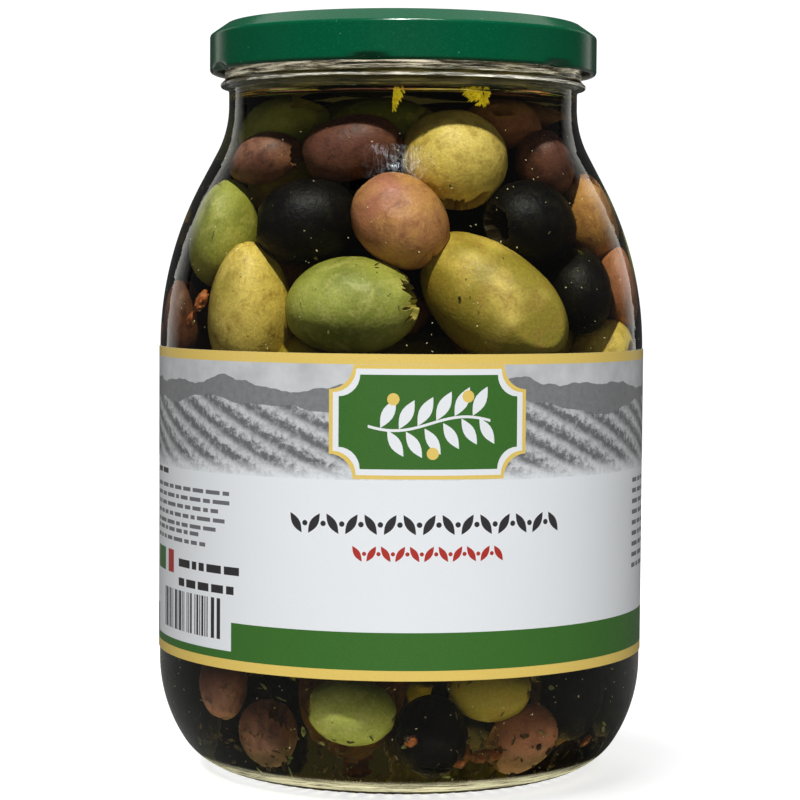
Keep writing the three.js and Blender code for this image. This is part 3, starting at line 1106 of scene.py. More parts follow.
def make_lid():
    outside = lid_outside()
    underside = lid_underside(outside)
    curl_height = LID_BOTTOM + LID_CURL_RADIUS
    curl = arc(LID_RADIUS - LID_CURL_RADIUS, curl_height, LID_CURL_RADIUS, -LID_CURL_TURN, 0, 16)
    vertices, faces, steps = revolve(underside + curl + outside, 288, lid_point)
    painted_from = len(underside) + len(curl) - LID_PAINTED_CURL_STEPS
    slots = [0 if step >= painted_from else 1 for step in steps]
    materials = [lid_paint_material(), lid_inside_material()]
    return stand_in(object_from("twist_lid", vertices, faces, materials, slots), "lid")


# The olives: where each one lies

@dataclass
class Olive:
    """One pitted olive, in millimetres. Its axis runs from the slit end to the stone's hole."""
    kind: str
    centre: np.ndarray
    axis: np.ndarray
    length: float
    width: float
    hole: float = 0.32
    tear: float = 0.25
    notch: float = 0.0
    taper: float = 0.0
    bend: float = 0.0
    roll: float = 0.0
    tone: float = 0.5
    fixed: bool = False
    near: bool = True


WALL_LINE = np.array(glass_inside())
WALL_ABOVE_FLOOR = WALL_LINE[INNER_DOME_STEPS + 1:]
OUTER_ABOVE_FOOT = np.array(glass_outside())[OUTER_DOME_STEPS + 2:]


def clearance(radius, height):
    """How far inside the glass each point lies, and the unit step inward as (radial, upward)."""
    start, step = WALL_LINE[:-1], np.diff(WALL_LINE, axis=0)
    offset = np.stack([radius, height], -1)[:, None] - start
    share = np.clip((offset * step).sum(-1) / (step ** 2).sum(-1), 0, 1)
    gap = offset - share[..., None] * step
    distance = np.hypot(gap[..., 0], gap[..., 1])
    nearest = distance.argmin(1)
    rows = np.arange(len(nearest))
    gap, step, distance = gap[rows, nearest], step[nearest], distance[rows, nearest]
    side = np.sign(step[:, 0] * gap[:, 1] - step[:, 1] * gap[:, 0])
    inward = gap * (side / np.maximum(distance, 1e-9))[:, None]
    return side * distance, inward


def clearance_at(point):
    gap, _ = clearance(np.array([math.hypot(point[0], point[1])]), np.array([point[2]]))
    return gap[0]


def radius_at(height, face):
    return float(np.interp(height, face[:, 1], face[:, 0]))


def sight_line(pixel):
    """The camera's place and the direction in which it sees a pixel, in millimetres."""
    right = (pixel[0] - FRAME_PIXELS / 2) / FOCAL_PIXELS
    up = (FRAME_PIXELS / 2 - pixel[1]) / FOCAL_PIXELS
    direction = np.array(CAMERA_TURN @ Vector((right, up, -1)))
    eye = np.array([0, -CAMERA_DISTANCE, CAMERA_HEIGHT]) / MM
    return eye, direction / np.linalg.norm(direction)


def bent_by_glass(eye, direction):
    """Where a sight line enters the jar, and its direction once the glass has bent it."""
    travel = SIGHT_START
    entry = eye + travel * direction
    while math.hypot(entry[0], entry[1]) > radius_at(entry[2], OUTER_ABOVE_FOOT):
        travel += SIGHT_STEP
        entry = eye + travel * direction
    radius = math.hypot(entry[0], entry[1])
    slope = radius_at(entry[2] + 0.5, OUTER_ABOVE_FOOT) - radius_at(entry[2] - 0.5, OUTER_ABOVE_FOOT)
    normal = np.array([entry[0] / radius, entry[1] / radius, -slope])
    normal /= np.linalg.norm(normal)
    ratio = 1 / GLASS_INDEX
    cosine = -normal @ direction
    across = math.sqrt(1 - ratio ** 2 * (1 - cosine ** 2))
    return entry, ratio * direction + (ratio * cosine - across) * normal


def seen_at(pixel, half_width, behind):
    """The centre of an olive seen at a pixel, touching the glass or so far behind it."""
    point, direction = bent_by_glass(*sight_line(pixel))
    while clearance_at(point) < half_width + WALL_GAP + behind and point[1] < 0:
        point = point + SINK_STEP * direction
    return point


def seen(kind, pixel, length, width, turn, toward=0.0, behind=0.0, **shape):
    """An olive of the photograph. In degrees, turn is its axis in the picture and toward its lean forward."""
    a, b = math.radians(turn), math.radians(toward)
    axis = np.array([math.cos(a) * math.cos(b), -math.sin(b), math.sin(a) * math.cos(b)])
    centre = seen_at(pixel, width / 2, behind)
    return Olive(kind, centre, axis, length, width, fixed=True, **shape)


def olives_seen():
    """The olives that the photograph shows, by the pixel of each one's middle."""
    return [
        seen("mauve", pixel=(262, 156), length=17, width=13, turn=8, toward=35,
             hole=0.42, tear=0.35, tone=0.45),
        seen("mauve", pixel=(354, 147), length=20, width=16, turn=200, toward=-10, behind=1.0, tone=0.15),
        seen("yellow", pixel=(454, 160), length=23, width=20.5, turn=-88, toward=22,
             hole=0.26, tear=0.8, notch=0.9, roll=0.6, tone=0.05),
        seen("mauve", pixel=(549, 163), length=16.5, width=13.6, turn=75, toward=5,
             behind=0.5, tone=0.0, hole=0.12),
        seen("black", pixel=(530, 223), length=20, width=17.6, turn=186, toward=42,
             hole=0.46, tear=0.25, tone=0.3),
        seen("pink", pixel=(600, 222), length=19, width=16, turn=70, tone=1.0),
        seen("pink", pixel=(620, 287), length=17, width=14, turn=100, tone=0.0),
        seen("black", pixel=(583, 289), length=17.5, width=15.5, turn=100, toward=-40, tone=0.8),
        seen("black", pixel=(307, 222), length=20.8, width=17.5, turn=182, toward=-10, tone=0.5),
        seen("pink", pixel=(404, 223), length=20.5, width=17.3, turn=130, toward=-12, tone=0.5),
        seen("green", pixel=(218, 230), length=22, width=17, turn=-78, toward=5, tear=0.5, tone=0.4),
        seen("yellow", pixel=(249, 306), length=27, width=18.5, turn=-84, toward=-8, taper=0.16, tone=0.2),
        seen("green", pixel=(352, 306), length=26, width=19.3, turn=4, toward=16,
             hole=0.42, tear=0.9, notch=0.7, roll=2.2, tone=0.5),
        seen("yellow", pixel=(491, 291), length=33.5, width=21.5, turn=144, toward=-4,
             tear=0.4, taper=-0.05, bend=0.06, tone=0.72),
        seen("yellow", pixel=(612, 352), length=19, width=16.5, turn=10, tone=0.4),
        seen("mauve", pixel=(176, 322), length=17, width=14, turn=80, tone=0.1),
        seen("black", pixel=(187, 705), length=19, width=15, turn=80, tone=0.3),
        seen("mauve", pixel=(221, 683), length=13.5, width=11.5, turn=80, tone=0.5),
        seen("mauve", pixel=(268, 734), length=14, width=12, turn=70, toward=36,
             hole=0.5, tear=0.7, notch=0.8, roll=1.4, tone=0.5),
        seen("green", pixel=(352, 712), length=17.5, width=13.0, turn=175, taper=0.08, tone=0.35),
        seen("black", pixel=(433, 738), length=15.5, width=14, turn=100, toward=-30, tone=0.7),
        seen("yellow", pixel=(488, 688), length=17, width=12.5, turn=172, toward=10,
             behind=5.0, hole=0.45, tear=0.7, notch=0.8, roll=3.2, tone=1.4),
        seen("pink", pixel=(531, 736), length=15, width=12.5, turn=-160, toward=20,
             hole=0.5, tear=0.7, notch=0.7, roll=0.2, tone=0.0),
        seen("black", pixel=(575, 700), length=17, width=15, turn=80, tone=0.2),
        seen("black", pixel=(613, 690), length=17, width=14, turn=80, tone=0.6),
    ]


def random_axis(rng, centre):
    """A random direction that, near the wall, lies mostly along it."""
    axis = rng.normal(size=3)
    radius = math.hypot(centre[0], centre[1])
    if radius > LOOSE_RADIUS:
        outward = np.array([centre[0], centre[1], 0]) / radius
        axis -= LOOSE_LEAN * (axis @ outward) * outward
    return axis / np.linalg.norm(axis)


def olives_unseen(rng):
    """The rest of the heap, scattered through the jar before it settles."""
    olives = []
    names = list(KIND_SHARES)
    shares = list(KIND_SHARES.values())
    while len(olives) < FILLER_COUNT:
        angle = rng.uniform(0, 2 * math.pi)
        radius = BODY_RADIUS * math.sqrt(rng.uniform())
        centre = np.array([radius * math.cos(angle), radius * math.sin(angle), rng.uniform(6, OLIVE_TOP)])
        if clearance_at(centre) < FILLER_CLEARANCE:
            continue
        width = rng.uniform(*FILLER_WIDTH)
        olives.append(Olive(
            rng.choice(names, p=shares), centre, random_axis(rng, centre),
            width * rng.uniform(1.15, 1.4), width,
            hole=rng.uniform(0.22, 0.42), tear=rng.uniform(0.15, 0.5), notch=rng.uniform() ** 3,
            taper=rng.uniform(-0.06, 0.12), bend=rng.uniform(0, 0.06), roll=rng.uniform(0, 6.28),
            tone=rng.uniform(),
        ))
    return olives


def inner_balls(olives):
    """Three balls inside each olive: their places along its axis, and their radii."""
    half = np.array([olive.length / 2 for olive in olives])
    wide = np.array([olive.width / 2 for olive in olives])
    end = np.minimum(wide ** 2 / half * END_BALL_SIZE, wide)
    return np.stack([end - half, 0 * half, half - end], 1), np.stack([end, wide, end], 1)


class Heap:
    """The olives as arrays while they settle, each held by the three balls inside it."""

    def __init__(self, olives):
        self.centres = np.array([olive.centre for olive in olives])
        self.homes = self.centres.copy()
        self.axes = np.array([olive.axis for olive in olives])
        self.fixed = np.array([olive.fixed for olive in olives])
        self.along, radii = inner_balls(olives)
        self.radii = radii.reshape(-1)
        owner = np.repeat(np.arange(len(olives)), 3)
        ease = np.where(self.fixed, SETTLE["ease"], 1.0)[owner]
        self.share = ease[:, None] / (ease[:, None] + ease[None])
        self.apart = owner[:, None] != owner[None]
        self.loose_ball = ~self.fixed[owner]

    def off_each_other(self, balls):
        """How deep each ball is in another, and the push that parts them."""
        between = balls[:, None] - balls[None]
        distance = np.sqrt((between ** 2).sum(-1)) + TINY
        overlap = np.where(self.apart, np.maximum(self.radii[:, None] + self.radii[None] - distance, 0), 0)
        return overlap.max(1), (between * (overlap * self.share / distance)[..., None]).sum(1)

    def off_the_glass(self, balls):
        """How deep each ball is in the glass, and the push inward from there and from the reserved places."""
        x, y, z = balls.T
        radius = np.hypot(x, y) + TINY
        gap, inward = clearance(radius, z)
        by_label = (z > LABEL_TOP - RESERVED_FROM_LABEL) | (z < LABEL_BOTTOM + RESERVED_FROM_LABEL)
        reserved = (y < RESERVED_FRONT) & by_label & self.loose_ball
        into_wall = self.radii + WALL_GAP - gap
        press = np.maximum(into_wall + RESERVED_DEPTH * reserved, 0)
        push = [press * inward[:, 0] * x / radius, press * inward[:, 0] * y / radius, press * inward[:, 1]]
        return into_wall, np.stack(push, 1)

    def step(self):
        """Moves every olive once, and gives how deep each was in another or in the glass."""
        balls = (self.centres[:, None] + self.axes[:, None] * self.along[..., None]).reshape(-1, 3)
        overlap, push = self.off_each_other(balls)
        into_wall, wall_push = self.off_the_glass(balls)
        push += wall_push
        push[:, 2] -= np.maximum(balls[:, 2] + self.radii - OLIVE_TOP, 0)
        move = push.reshape(-1, 3, 3).sum(1) * SETTLE["step"]
        out = self.centres[:, :2] / (np.hypot(self.centres[:, 0], self.centres[:, 1])[:, None] + TINY)
        loose = ~self.fixed
        move[loose, 2] -= SETTLE["sink"]
        move[loose, :2] += SETTLE["spread"] * out[loose]
        move[self.fixed] += SETTLE["home"] * (self.homes - self.centres)[self.fixed]
        self.centres += np.clip(move, -SETTLE["longest"], SETTLE["longest"])
        return np.maximum(overlap, into_wall).reshape(-1, 3).max(1)


def settle(olives):
    """Pushes the olives off each other and the glass, and lets the unseen ones sink and press outward."""
    heap = Heap(olives)
    for _ in range(SETTLE["rounds"]):
        worst = heap.step()
    for olive, centre in zip(olives, heap.centres):
        olive.centre = centre
    return [olive for olive, deep in zip(olives, worst) if olive.fixed or deep < DEEPEST_OVERLAP]


def foot_kind(tone):
    """At the foot the photograph shows mostly dark olives."""
    if tone > FOOT_GREEN_ABOVE:
        return "green"
    return "mauve" if tone > FOOT_MAUVE_ABOVE else "black"


def heap_of_olives():
    rng = np.random.default_rng(SEED)
    olives = settle(olives_seen() + olives_unseen(rng))
    lowest_hidden, highest_hidden = HIDDEN_BY_LABEL
    for olive in olives:
        height = olive.centre[2]
        near_wall = clearance_at(olive.centre) < olive.width
        olive.near = near_wall and not lowest_hidden < height < highest_hidden
        if height < FOOT_TOP and not olive.fixed:
            olive.kind = foot_kind(olive.tone)
    return olives


# The olives: the shape of each one

def ripples(rng, angle):
    """A smooth random wave round a circle."""
    total = np.zeros_like(angle)
    for order in RIPPLE_ORDERS:
        wave = np.sin(order * angle + rng.uniform(0, 2 * math.pi))
        total += wave * rng.uniform(0.5, 1.0) / math.sqrt(order)
    return total / math.sqrt(len(RIPPLE_ORDERS))


def smooth_bumps(rng, points, frequency):
    """A smooth random height over the unit directions."""
    total = np.zeros(len(points))
    for _ in range(LUMP_WAVES):
        way = rng.normal(size=3)
        way *= rng.uniform(0.6, 1.4) * frequency / np.linalg.norm(way)
        total += np.sin(points @ way + rng.uniform(0, 2 * math.pi))
    return total / math.sqrt(LUMP_WAVES)


def torn_lip(olive, angle, rng):
    """How far from the axis the skin ends round the hole, in radians: ragged, and notched at one side."""
    ragged = ripples(rng, angle)
    notch = np.exp(-((np.mod(angle - olive.roll + math.pi, 2 * math.pi) - math.pi) / NOTCH_WIDTH) ** 2)
    jagged = rng.uniform(-1, 1, len(angle))
    jagged = (jagged + np.roll(jagged, 1)) / 2
    torn = olive.tear * (0.6 * ragged + 0.45 * jagged)
    lip = math.asin(min(LARGEST_HOLE, olive.hole)) * (1 + torn) + olive.notch * notch * NOTCH_DEPTH
    return np.clip(lip, *LIP_RANGE)


def unit_skin(olive, lip, rows, angle):
    """The skin round a unit sphere: its tip at the slit end, then ring after ring up to the lip."""
    share = np.linspace(0, 1, rows)[1:, None]
    polar = math.pi - share * (math.pi - lip[None])
    around = np.broadcast_to(angle, polar.shape)
    lengthwise = np.cos(polar)
    radial = np.abs(np.sin(polar)) ** SKIN_BLUNTNESS * (1 + olive.taper * lengthwise)
    skin = np.stack([radial * np.cos(around), radial * np.sin(around), lengthwise], -1).reshape(-1, 3)
    return np.concatenate([[[0, 0, -1.0]], skin])


def lumpiness(rng, unit):
    """The share by which each point of the skin is moved out or in, by lumps and a few dents."""
    lumps = 1 + LUMP_SIZE * smooth_bumps(rng, unit, 3.0) + 0.35 * LUMP_SIZE * smooth_bumps(rng, unit, 8.0)
    for _ in range(DENT_COUNT):
        dent = rng.normal(size=3)
        dent /= np.linalg.norm(dent)
        lumps -= DENT_DEPTH * rng.uniform(0.2, 1) * np.exp(-((1 - unit @ dent) / DENT_WIDTH) ** 2)
    return lumps


def slit_depth(points, wide, turn):
    """The cross-shaped cut at the end where the stone's pin went in."""
    radius = np.hypot(points[:, 0], points[:, 1])
    angle = np.arctan2(points[:, 1], points[:, 0]) + turn
    beside = radius * np.abs(np.sin(2 * angle)) / 2
    reach = np.clip(1 - radius / (SLIT_REACH * wide), 0, 1)
    return np.where(points[:, 2] < 0, SLIT_DEPTH * np.exp(-(beside / SLIT_WIDTH) ** 2) * np.sqrt(reach), 0)


def with_hole(points, half, columns):
    """Adds the inside of the stone's hole, ring by ring down from the torn edge of the skin."""
    rim = points[-columns:]
    middle = rim.mean(0)
    bottom = middle - [0, 0, half * HOLE_DEPTH]
    rings = [points]
    for inward, deep in HOLE_STEPS:
        ring = middle + (rim - middle) * inward
        ring[:, 2] = rim[:, 2] * (1 - deep) + bottom[2] * deep
        rings.append(ring)
    return np.concatenate(rings + [[bottom]])


def olive_faces(rings, columns):
    pairs = [(j, (j + 1) % columns) for j in range(columns)]
    faces = [(0, 1 + k, 1 + j) for j, k in pairs]
    for i in range(rings - 1):
        low, high = 1 + i * columns, 1 + (i + 1) * columns
        faces += [(low + j, low + k, high + k, high + j) for j, k in pairs]
    last, tip = 1 + (rings - 1) * columns, 1 + rings * columns
    return faces + [(last + j, last + k, tip) for j, k in pairs]


def olive_mesh(olive, rng):
    """Vertices in millimetres, faces, and how much each vertex is cut flesh (1) or skin (0)."""
    rows, columns = OLIVE_GRIDS["photographed" if olive.fixed else "near" if olive.near else "hidden"]
    half, wide = olive.length / 2, olive.width / 2
    angle = np.linspace(0, 2 * math.pi, columns, endpoint=False)
    unit = unit_skin(olive, torn_lip(olive, angle, rng), rows, angle)
    points = unit * lumpiness(rng, unit)[:, None] * [wide, wide, half]
    points[:, 0] += olive.bend * wide * (points[:, 2] / half) ** 2 * 2
    points[:, 2] += slit_depth(points, wide, rng.uniform(0, math.pi))
    points = with_hole(points, half, columns)
    flesh = np.zeros(len(points))
    flesh[-1 - (len(HOLE_STEPS) + 1) * columns:] = 1
    return points, olive_faces(rows - 1 + len(HOLE_STEPS), columns), flesh


def turned_to(axis, points):
    """Points whose own axis is +Z, turned to lie along axis."""
    turn = Vector((0, 0, 1)).rotation_difference(Vector(axis)).to_matrix()
    return points @ np.array(turn).T


def held_inside(points):
    """The points with those that reach into the glass moved back to just inside it."""
    radius = np.hypot(points[:, 0], points[:, 1]) + 1e-9
    gap, inward = clearance(radius, points[:, 2])
    step = np.maximum(SKIN_GAP - gap, 0)[:, None] * inward
    around = points[:, :2] / radius[:, None]
    return points + np.column_stack([step[:, :1] * around, step[:, 1]])


def make_olives(olives):
    """One piece for each kind of olive."""
    rng = np.random.default_rng(SEED + 1)
    meshes = {kind: [] for kind in OLIVE_SKINS}
    for olive in olives:
        points, faces, flesh = olive_mesh(olive, rng)
        points = held_inside(turned_to(olive.axis, points) + olive.centre)
        meshes[olive.kind].append((points, faces, flesh, np.full(len(points), olive.tone)))
    pieces = []
    for kind, parts in meshes.items():
        piece = object_from(f"{kind}_olives", *joined(part[:2] for part in parts), [olive_material(kind)])
        mark(piece, "flesh", np.concatenate([part[2] for part in parts]))
        mark(piece, "tone", np.concatenate([part[3] for part in parts]))
        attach(piece, "root")
        pieces.append(piece)
    return pieces


# The label: its print as flat shapes in millimetres, u round the jar from the design's middle, v up

INKS = ("white", "landscape", "green", "gold", "charcoal", "red", "grey")
LABEL_BANDS = (("white", 0, LABEL_HEIGHT), ("gold", 0, 2.1), ("green", 2.1, 9.8), ("landscape", 40.5, 63.8),
               ("gold", 63.8, LABEL_HEIGHT))
EMBLEM_CENTRE = 52.25
EMBLEM_SIZE = (41.0, 23.0)

# The emblem's plaques, each on the one before: ink, how far set in, and the radius of the scooped corners
EMBLEM_PLAQUES = (("gold", 0, 5.0), ("white", 0.8, 4.8), ("green", 2.0, 4.4))
EMBLEM_BERRIES = ((-7.4, 4.6), (0.6, -6.3), (7.8, 5.2))
BERRY_RADIUS = 1.25
UPPER_LEAF = {"length": 6.6, "width": 2.5, "turn": 62}
LOWER_LEAF = {"length": 6.2, "width": 2.3, "turn": -58}
LOWER_LEAF_AHEAD = 1.4
LOWER_LEAF_DROP = 0.5
STEM = {"half_length": 12.5, "points": 21, "wave": 1.4, "wave_length": 4.6, "width": 0.55}
LEAN_RIGHT = 58
LEAN_LEFT = 122
LEAF_WIDTH = 0.36
BERRY_SHARE = 0.12
WORD_LENGTH = (1.6, 5.4)
WORD_GAP = 0.9
FLAGS = (("green", (-79.5, 17.9, -71.8, 22.8)), ("red", (-69.6, 17.9, -66.0, 22.8)))
BAR_PANEL = (-79.5, 3.8, -43.7, 14.9)
BARS = {"left": -72.0, "right": -46.2, "low": 6.0, "high": 14.5}
BAR_WIDTHS = (0.36, 0.36, 0.72, 1.1)
BAR_GAPS = (0.4, 0.4, 0.8, 1.1)

# Blocks of small print: left, right and top, then rows, pitch, height, ink, seed and raggedness
LEFT_PRINT = (
    (-80, -69, 40.0, 1, 2, 1.1, "charcoal", 1, 0.0),
    (-80, -43.5, 36.8, 5, 1.93, 0.85, "grey", 1, 0.2),
    (-80, -52.0, 27.6, 2, 1.93, 0.85, "grey", 7, 0.4),
    (-63.2, -41.5, 21.3, 2, 4.05, 1.7, "charcoal", 2, 0.08),
)
BACK_PRINT = (
    (58, 104, 38.6, 9, 2.3, 0.95, "grey", 3, 0.25),
    (112, 158, 38.6, 12, 2.2, 0.95, "grey", 4, 0.25),
    (-158, -96, 38.6, 5, 2.4, 1.1, "grey", 5, 0.25),
    (-158, -96, 24.0, 5, 2.4, 1.1, "grey", 6, 0.25),
)


def plaque(half_width, half_height, scoop):
    """A rectangle with its corners scooped out by quarter circles."""
    outline = []
    for (right, up), start in (((1, -1), 180), ((1, 1), 270), ((-1, 1), 0), ((-1, -1), 90)):
        middle = (right * half_width, EMBLEM_CENTRE + up * half_height)
        outline += arc(*middle, scoop, start, start - 90, 7)
    return outline


def leaf(u, v, length, width, turn, steps=7):
    """A pointed leaf that starts at (u, v) and grows the way it turns."""
    cos, sin = math.cos(math.radians(turn)), math.sin(math.radians(turn))
    upper = [(length * i / steps, width / 2 * math.sin(math.pi * i / steps)) for i in range(steps)]
    lower = [(length - x, -y) for x, y in upper]
    return [(u + x * cos - y * sin, v + x * sin + y * cos) for x, y in upper + lower]


def emblem():
    """A plaque with an olive sprig, in place of a maker's sign."""
    half_w, half_h = EMBLEM_SIZE[0] / 2, EMBLEM_SIZE[1] / 2
    shapes = [(ink, plaque(half_w - inset, half_h - inset, scoop)) for ink, inset, scoop in EMBLEM_PLAQUES]
    along = np.linspace(-STEM["half_length"], STEM["half_length"], STEM["points"])
    stem = [(x, EMBLEM_CENTRE + STEM["wave"] * math.sin(x / STEM["wave_length"])) for x in along]
    shapes.append(("white", stem + [(x, y - STEM["width"]) for x, y in stem[::-1]]))
    for x, y in stem[2:-1:3]:
        shapes.append(("white", leaf(x, y, **UPPER_LEAF)))
        shapes.append(("white", leaf(x + LOWER_LEAF_AHEAD, y - LOWER_LEAF_DROP, **LOWER_LEAF)))
    return shapes + [("gold", disc(x, EMBLEM_CENTRE + y, BERRY_RADIUS)) for x, y in EMBLEM_BERRIES]


def garland(ink, count, half_length, centre, height):
    """A row of leaves with a berry between each two, as a printed ornament."""
    pitch = 2 * half_length / count
    shapes = []
    for i in range(count):
        u = -half_length + pitch * (i + 0.5)
        lean = LEAN_RIGHT if i % 2 else LEAN_LEFT
        rise = math.sin(math.radians(lean)) * height / 2
        run = math.cos(math.radians(lean)) * height / 2
        shapes.append((ink, leaf(u - run, centre - rise, height, height * LEAF_WIDTH, lean)))
        if i < count - 1:
            shapes.append((ink, disc(u + pitch / 2, centre, height * BERRY_SHARE, 10)))
    return shapes


def small_print(u0, u1, v_top, rows, pitch, height, ink, seed, ragged):
    """Rows of short dashes where a label has its small print."""
    rng = random.Random(seed)
    shapes = []
    for row in range(rows):
        v = v_top - row * pitch
        u = u0
        end = u1 - rng.uniform(0, ragged) * (u1 - u0)
        while u < end:
            word = rng.uniform(*WORD_LENGTH)
            shapes.append((ink, rectangle(u, v - height, min(u + word, u1), v)))
            u += word + WORD_GAP
    return shapes


def bar_panel():
    """A white panel of plain upright bars, as on any grocery label."""
    rng = random.Random(SEED)
    shapes = [("white", rectangle(*BAR_PANEL))]
    u = BARS["left"]
    while u < BARS["right"]:
        bar = rng.choice(BAR_WIDTHS)
        shapes.append(("charcoal", rectangle(u, BARS["low"], u + bar, BARS["high"])))
        u += bar + rng.choice(BAR_GAPS)
    return shapes


def label_print():
    """Every printed shape, in the order of printing: a later one covers an earlier one."""
    reach = LABEL_LENGTH / 2
    shapes = [(ink, rectangle(-reach, low, reach, high)) for ink, low, high in LABEL_BANDS]
    shapes += emblem()
    shapes += garland("charcoal", count=15, half_length=29.5, centre=31.6, height=4.8)
    shapes += garland("red", count=11, half_length=16.0, centre=25.7, height=3.7)
    for block in LEFT_PRINT:
        shapes += small_print(*block)
    shapes += [(ink, rectangle(*corners)) for ink, corners in FLAGS]
    shapes += bar_panel()
    for block in BACK_PRINT:
        shapes += small_print(*block)
    return shapes


def counter_clockwise(outline):
    turned = outline[1:] + outline[:1]
    area = sum(a[0] * b[1] - b[0] * a[1] for a, b in zip(outline, turned))
    return outline if area > 0 else outline[::-1]


def label_regions():
    """The label cut into triangles that each have one ink, with upright cuts so that it bends smoothly."""
    reach = LABEL_LENGTH / 2
    cuts = int(LABEL_LENGTH / LABEL_CUT)
    points = [(-reach + LABEL_LENGTH * i / cuts, v) for i in range(cuts + 1) for v in (0, LABEL_HEIGHT)]
    edges = [(2 * i, 2 * i + 1) for i in range(cuts + 1)]
    shapes = label_print()
    faces = []
    for _, outline in shapes:
        faces.append(list(range(len(points), len(points) + len(outline))))
        points += counter_clockwise(outline)
    result = geometry.delaunay_2d_cdt([Vector(p) for p in points], edges, faces, 0, 1e-4)
    spots, triangles, sources = result[0], result[2], result[5]
    inks = [INKS.index(shapes[max(source)][0]) if source else 0 for source in sources]
    return np.array([tuple(p) for p in spots]), triangles, inks


def on_jar(spots, lift):
    """Points of the label, bent round the jar. Its far end lies over its near end at the back."""
    u, v = spots.T
    overlap = np.clip((u - LABEL_LENGTH / 2 + LABEL_OVERLAP + LAP_RAMP) / LAP_RAMP, 0, 1)
    radius = LABEL_RADIUS + lift + smooth_step(overlap) * LAP_LIFT
    angle = u / LABEL_BEND_RADIUS + LABEL_TURN
    return np.stack([radius * np.sin(angle), -radius * np.cos(angle), LABEL_BOTTOM + v], -1) * MM


def label_rim(triangles):
    """The edges that only one triangle has."""
    uses = dict.fromkeys(pair for t in triangles for pair in zip(t, t[1:] + t[:1]))
    return [(a, b) for a, b in uses if (b, a) not in uses]


def make_label():
    """One closed strip: the printed face, the plain back, and the cut edges."""
    spots, triangles, inks = label_regions()
    count = len(spots)
    rim = label_rim(triangles)
    faces = [tuple(t) for t in triangles] + [tuple(count + i for i in t[::-1]) for t in triangles]
    faces += [(b, a, count + a, count + b) for a, b in rim]
    slots = inks + [0] * (len(triangles) + len(rim))
    vertices = np.concatenate([on_jar(spots, LABEL_THICKNESS), on_jar(spots, 0)])
    piece = object_from("paper_label", vertices, faces, label_materials(), slots)
    flat = np.concatenate([spots, spots]) / [LABEL_LENGTH, LABEL_HEIGHT] + [0.5, 0]
    corners = np.empty(len(piece.data.loops), dtype=np.int32)
    piece.data.loops.foreach_get("vertex_index", corners)
    layer = piece.data.uv_layers.new(name="print")
    layer.data.foreach_set("uv", flat[corners].reshape(-1))
    for face in piece.data.polygons:
        face.use_smooth = len(face.vertices) == 3
    stand_in(piece, "label")


# What floats between the olives

def ball(level):
    mesh = bmesh.new()
    bmesh.ops.create_icosphere(mesh, subdivisions=level, radius=1)
    corners = np.array([tuple(v.co) for v in mesh.verts])
    faces = [tuple(v.index for v in face.verts) for face in mesh.faces]
    mesh.free()
    return corners, faces


BALLS = {level: ball(level) for level in (1, 2, 3)}


def chip_mesh(rng, centre, sizes, roundness, turn=None):
    """A small irregular lump, turned at random unless a turn is given: vertices in millimetres and faces."""
    corners, faces = BALLS[roundness]
    uneven = 1 + rng.uniform(-CHIP_UNEVENNESS, CHIP_UNEVENNESS, (len(corners), 1))
    points = corners * uneven * (np.array(sizes) / 2)
    if turn is None:
        turn = np.linalg.qr(rng.normal(size=(3, 3)))[0]
    return points @ turn.T + centre, faces


class Gaps:
    """Finds where a small thing would lie: on the first olive behind the glass, or afloat."""

    def __init__(self, olives):
        self.centres = np.array([olive.centre for olive in olives])
        self.axes = np.array([olive.axis for olive in olives])
        self.half = np.array([[olive.width / 2, olive.length / 2] for olive in olives])

    def depth_inside(self, points):
        """Below 1 inside an olive: the smallest share of the way out to any olive's skin."""
        offset = points[:, None] - self.centres[None]
        along = (offset * self.axes).sum(-1)
        beside = np.sqrt(np.maximum((offset ** 2).sum(-1) - along ** 2, 0))
        return np.sqrt((along / self.half[:, 1]) ** 2 + (beside / self.half[:, 0]) ** 2).min(1)

    def behind_glass(self, angle, height, deepest, size):
        """A point near the wall at this angle and height, on the olive that it meets, if one is near."""
        depth = np.arange(size + 0.15, deepest, 0.25)
        radius = radius_at(height, WALL_ABOVE_FLOOR) - depth
        x, y = radius * math.cos(angle), radius * math.sin(angle)
        points = np.stack([x, y, np.full(len(depth), height)], -1)
        hits = np.nonzero(self.depth_inside(points) < 1.0)[0]
        return points[hits[0]] if len(hits) else None


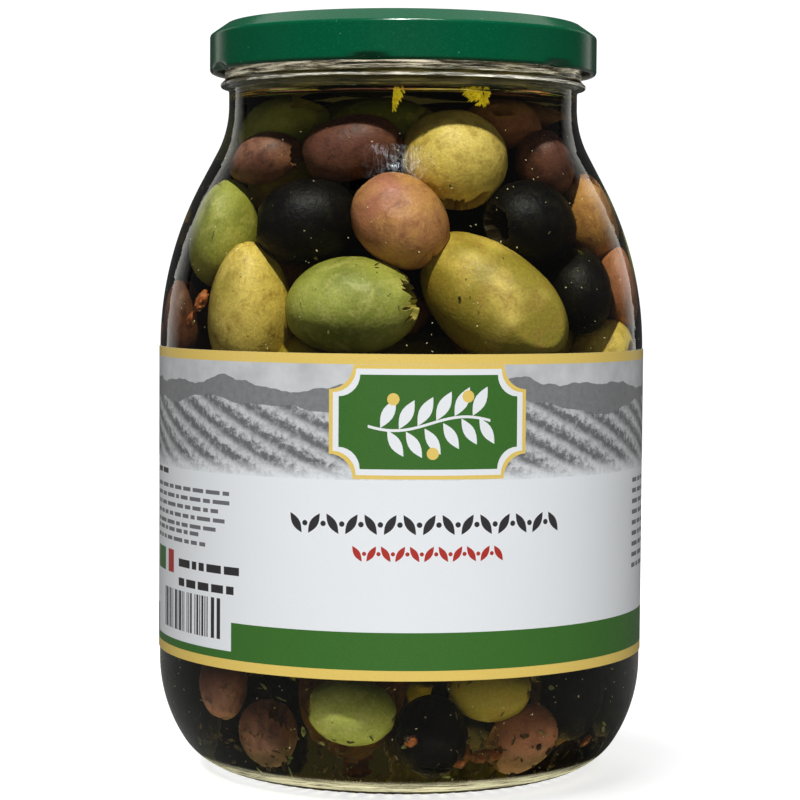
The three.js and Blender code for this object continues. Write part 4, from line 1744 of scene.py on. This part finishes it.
def scattered(rng, gaps, count, heights, sizes, roundness=1, deepest=9.0, afloat=0.0):
    """count lumps on the olives near the glass. afloat is the share that hangs free behind the glass."""
    chips = []
    while len(chips) < count:
        angle, height = rng.uniform(0, 2 * math.pi), rng.uniform(*heights)
        size = [rng.uniform(low, high) for low, high in sizes]
        spot = gaps.behind_glass(angle, height, deepest, max(size) / 2)
        if spot is None or rng.uniform() < afloat:
            radius = radius_at(height, WALL_ABOVE_FLOOR) - max(size) / 2 - rng.uniform(0.2, 1.5)
            spot = np.array([radius * math.cos(angle), radius * math.sin(angle), height])
        chips.append(chip_mesh(rng, spot, size, roundness))
    return chips


def glint_fan(rng, top_pixel, foot_pixel, spread, count):
    """Painted glints: thin yellow chips that glow by themselves, behind the glass where the oil meets it."""
    (left, top), (foot, bottom) = top_pixel, foot_pixel
    chips = []
    for _ in range(count):
        side, down = rng.uniform(-1, 1), rng.uniform()
        across = left + (foot - left) * down + side * spread * (1 - GLINT_TAPER * down)
        pixel = (across, top + (bottom - top) * down * rng.uniform(0.5, 1))
        lean = Matrix.Rotation(math.atan2(foot - left - side * spread, bottom - top), 3, "Y")
        sizes = [rng.uniform(low, high) for low, high in GLINT_SIZES]
        chips.append(chip_mesh(rng, seen_at(pixel, 0.5, 0.0), sizes, 1, np.array(lean)))
    return chips


def seen_chilli(rng, pixel, behind, sizes):
    return chip_mesh(rng, seen_at(pixel, 2.0, behind), sizes, 3)


def make_small_things(olives):
    """One piece for each kind of small thing."""
    rng = np.random.default_rng(SEED + 2)
    gaps = Gaps(olives)
    chips = {}
    for name, zone in SCATTERED:
        chips.setdefault(name, []).extend(scattered(rng, gaps, **zone))
    chips["chilli_bits"] = [seen_chilli(rng, **bit) for bit in CHILLI_BITS]
    chips["chilli_bits"] += scattered(rng, gaps, **LOOSE_CHILLI)
    chips["painted_oil_glints"] = [chip for fan in OIL_GLINTS for chip in glint_fan(rng, **fan)]
    materials = small_materials()
    pieces = []
    for name, lumps in chips.items():
        piece = object_from(name, *joined(lumps), [materials[name]])
        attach(piece, "root")
        pieces.append(piece)
    return pieces


make_camera()
floor = make_studio()
set_rendering()
glass = make_glass()
make_oil()
light_all_but(sun("key", KEY_AZIMUTH, KEY_ELEVATION, KEY_STRENGTH, KEY_ANGLE), floor, glass)
key_card(glass)
glass_only_lamps(glass, floor)
lid_cards(make_lid())
make_label()
olives = heap_of_olives()
table_bounce(make_olives(olives) + make_small_things(olives), floor)
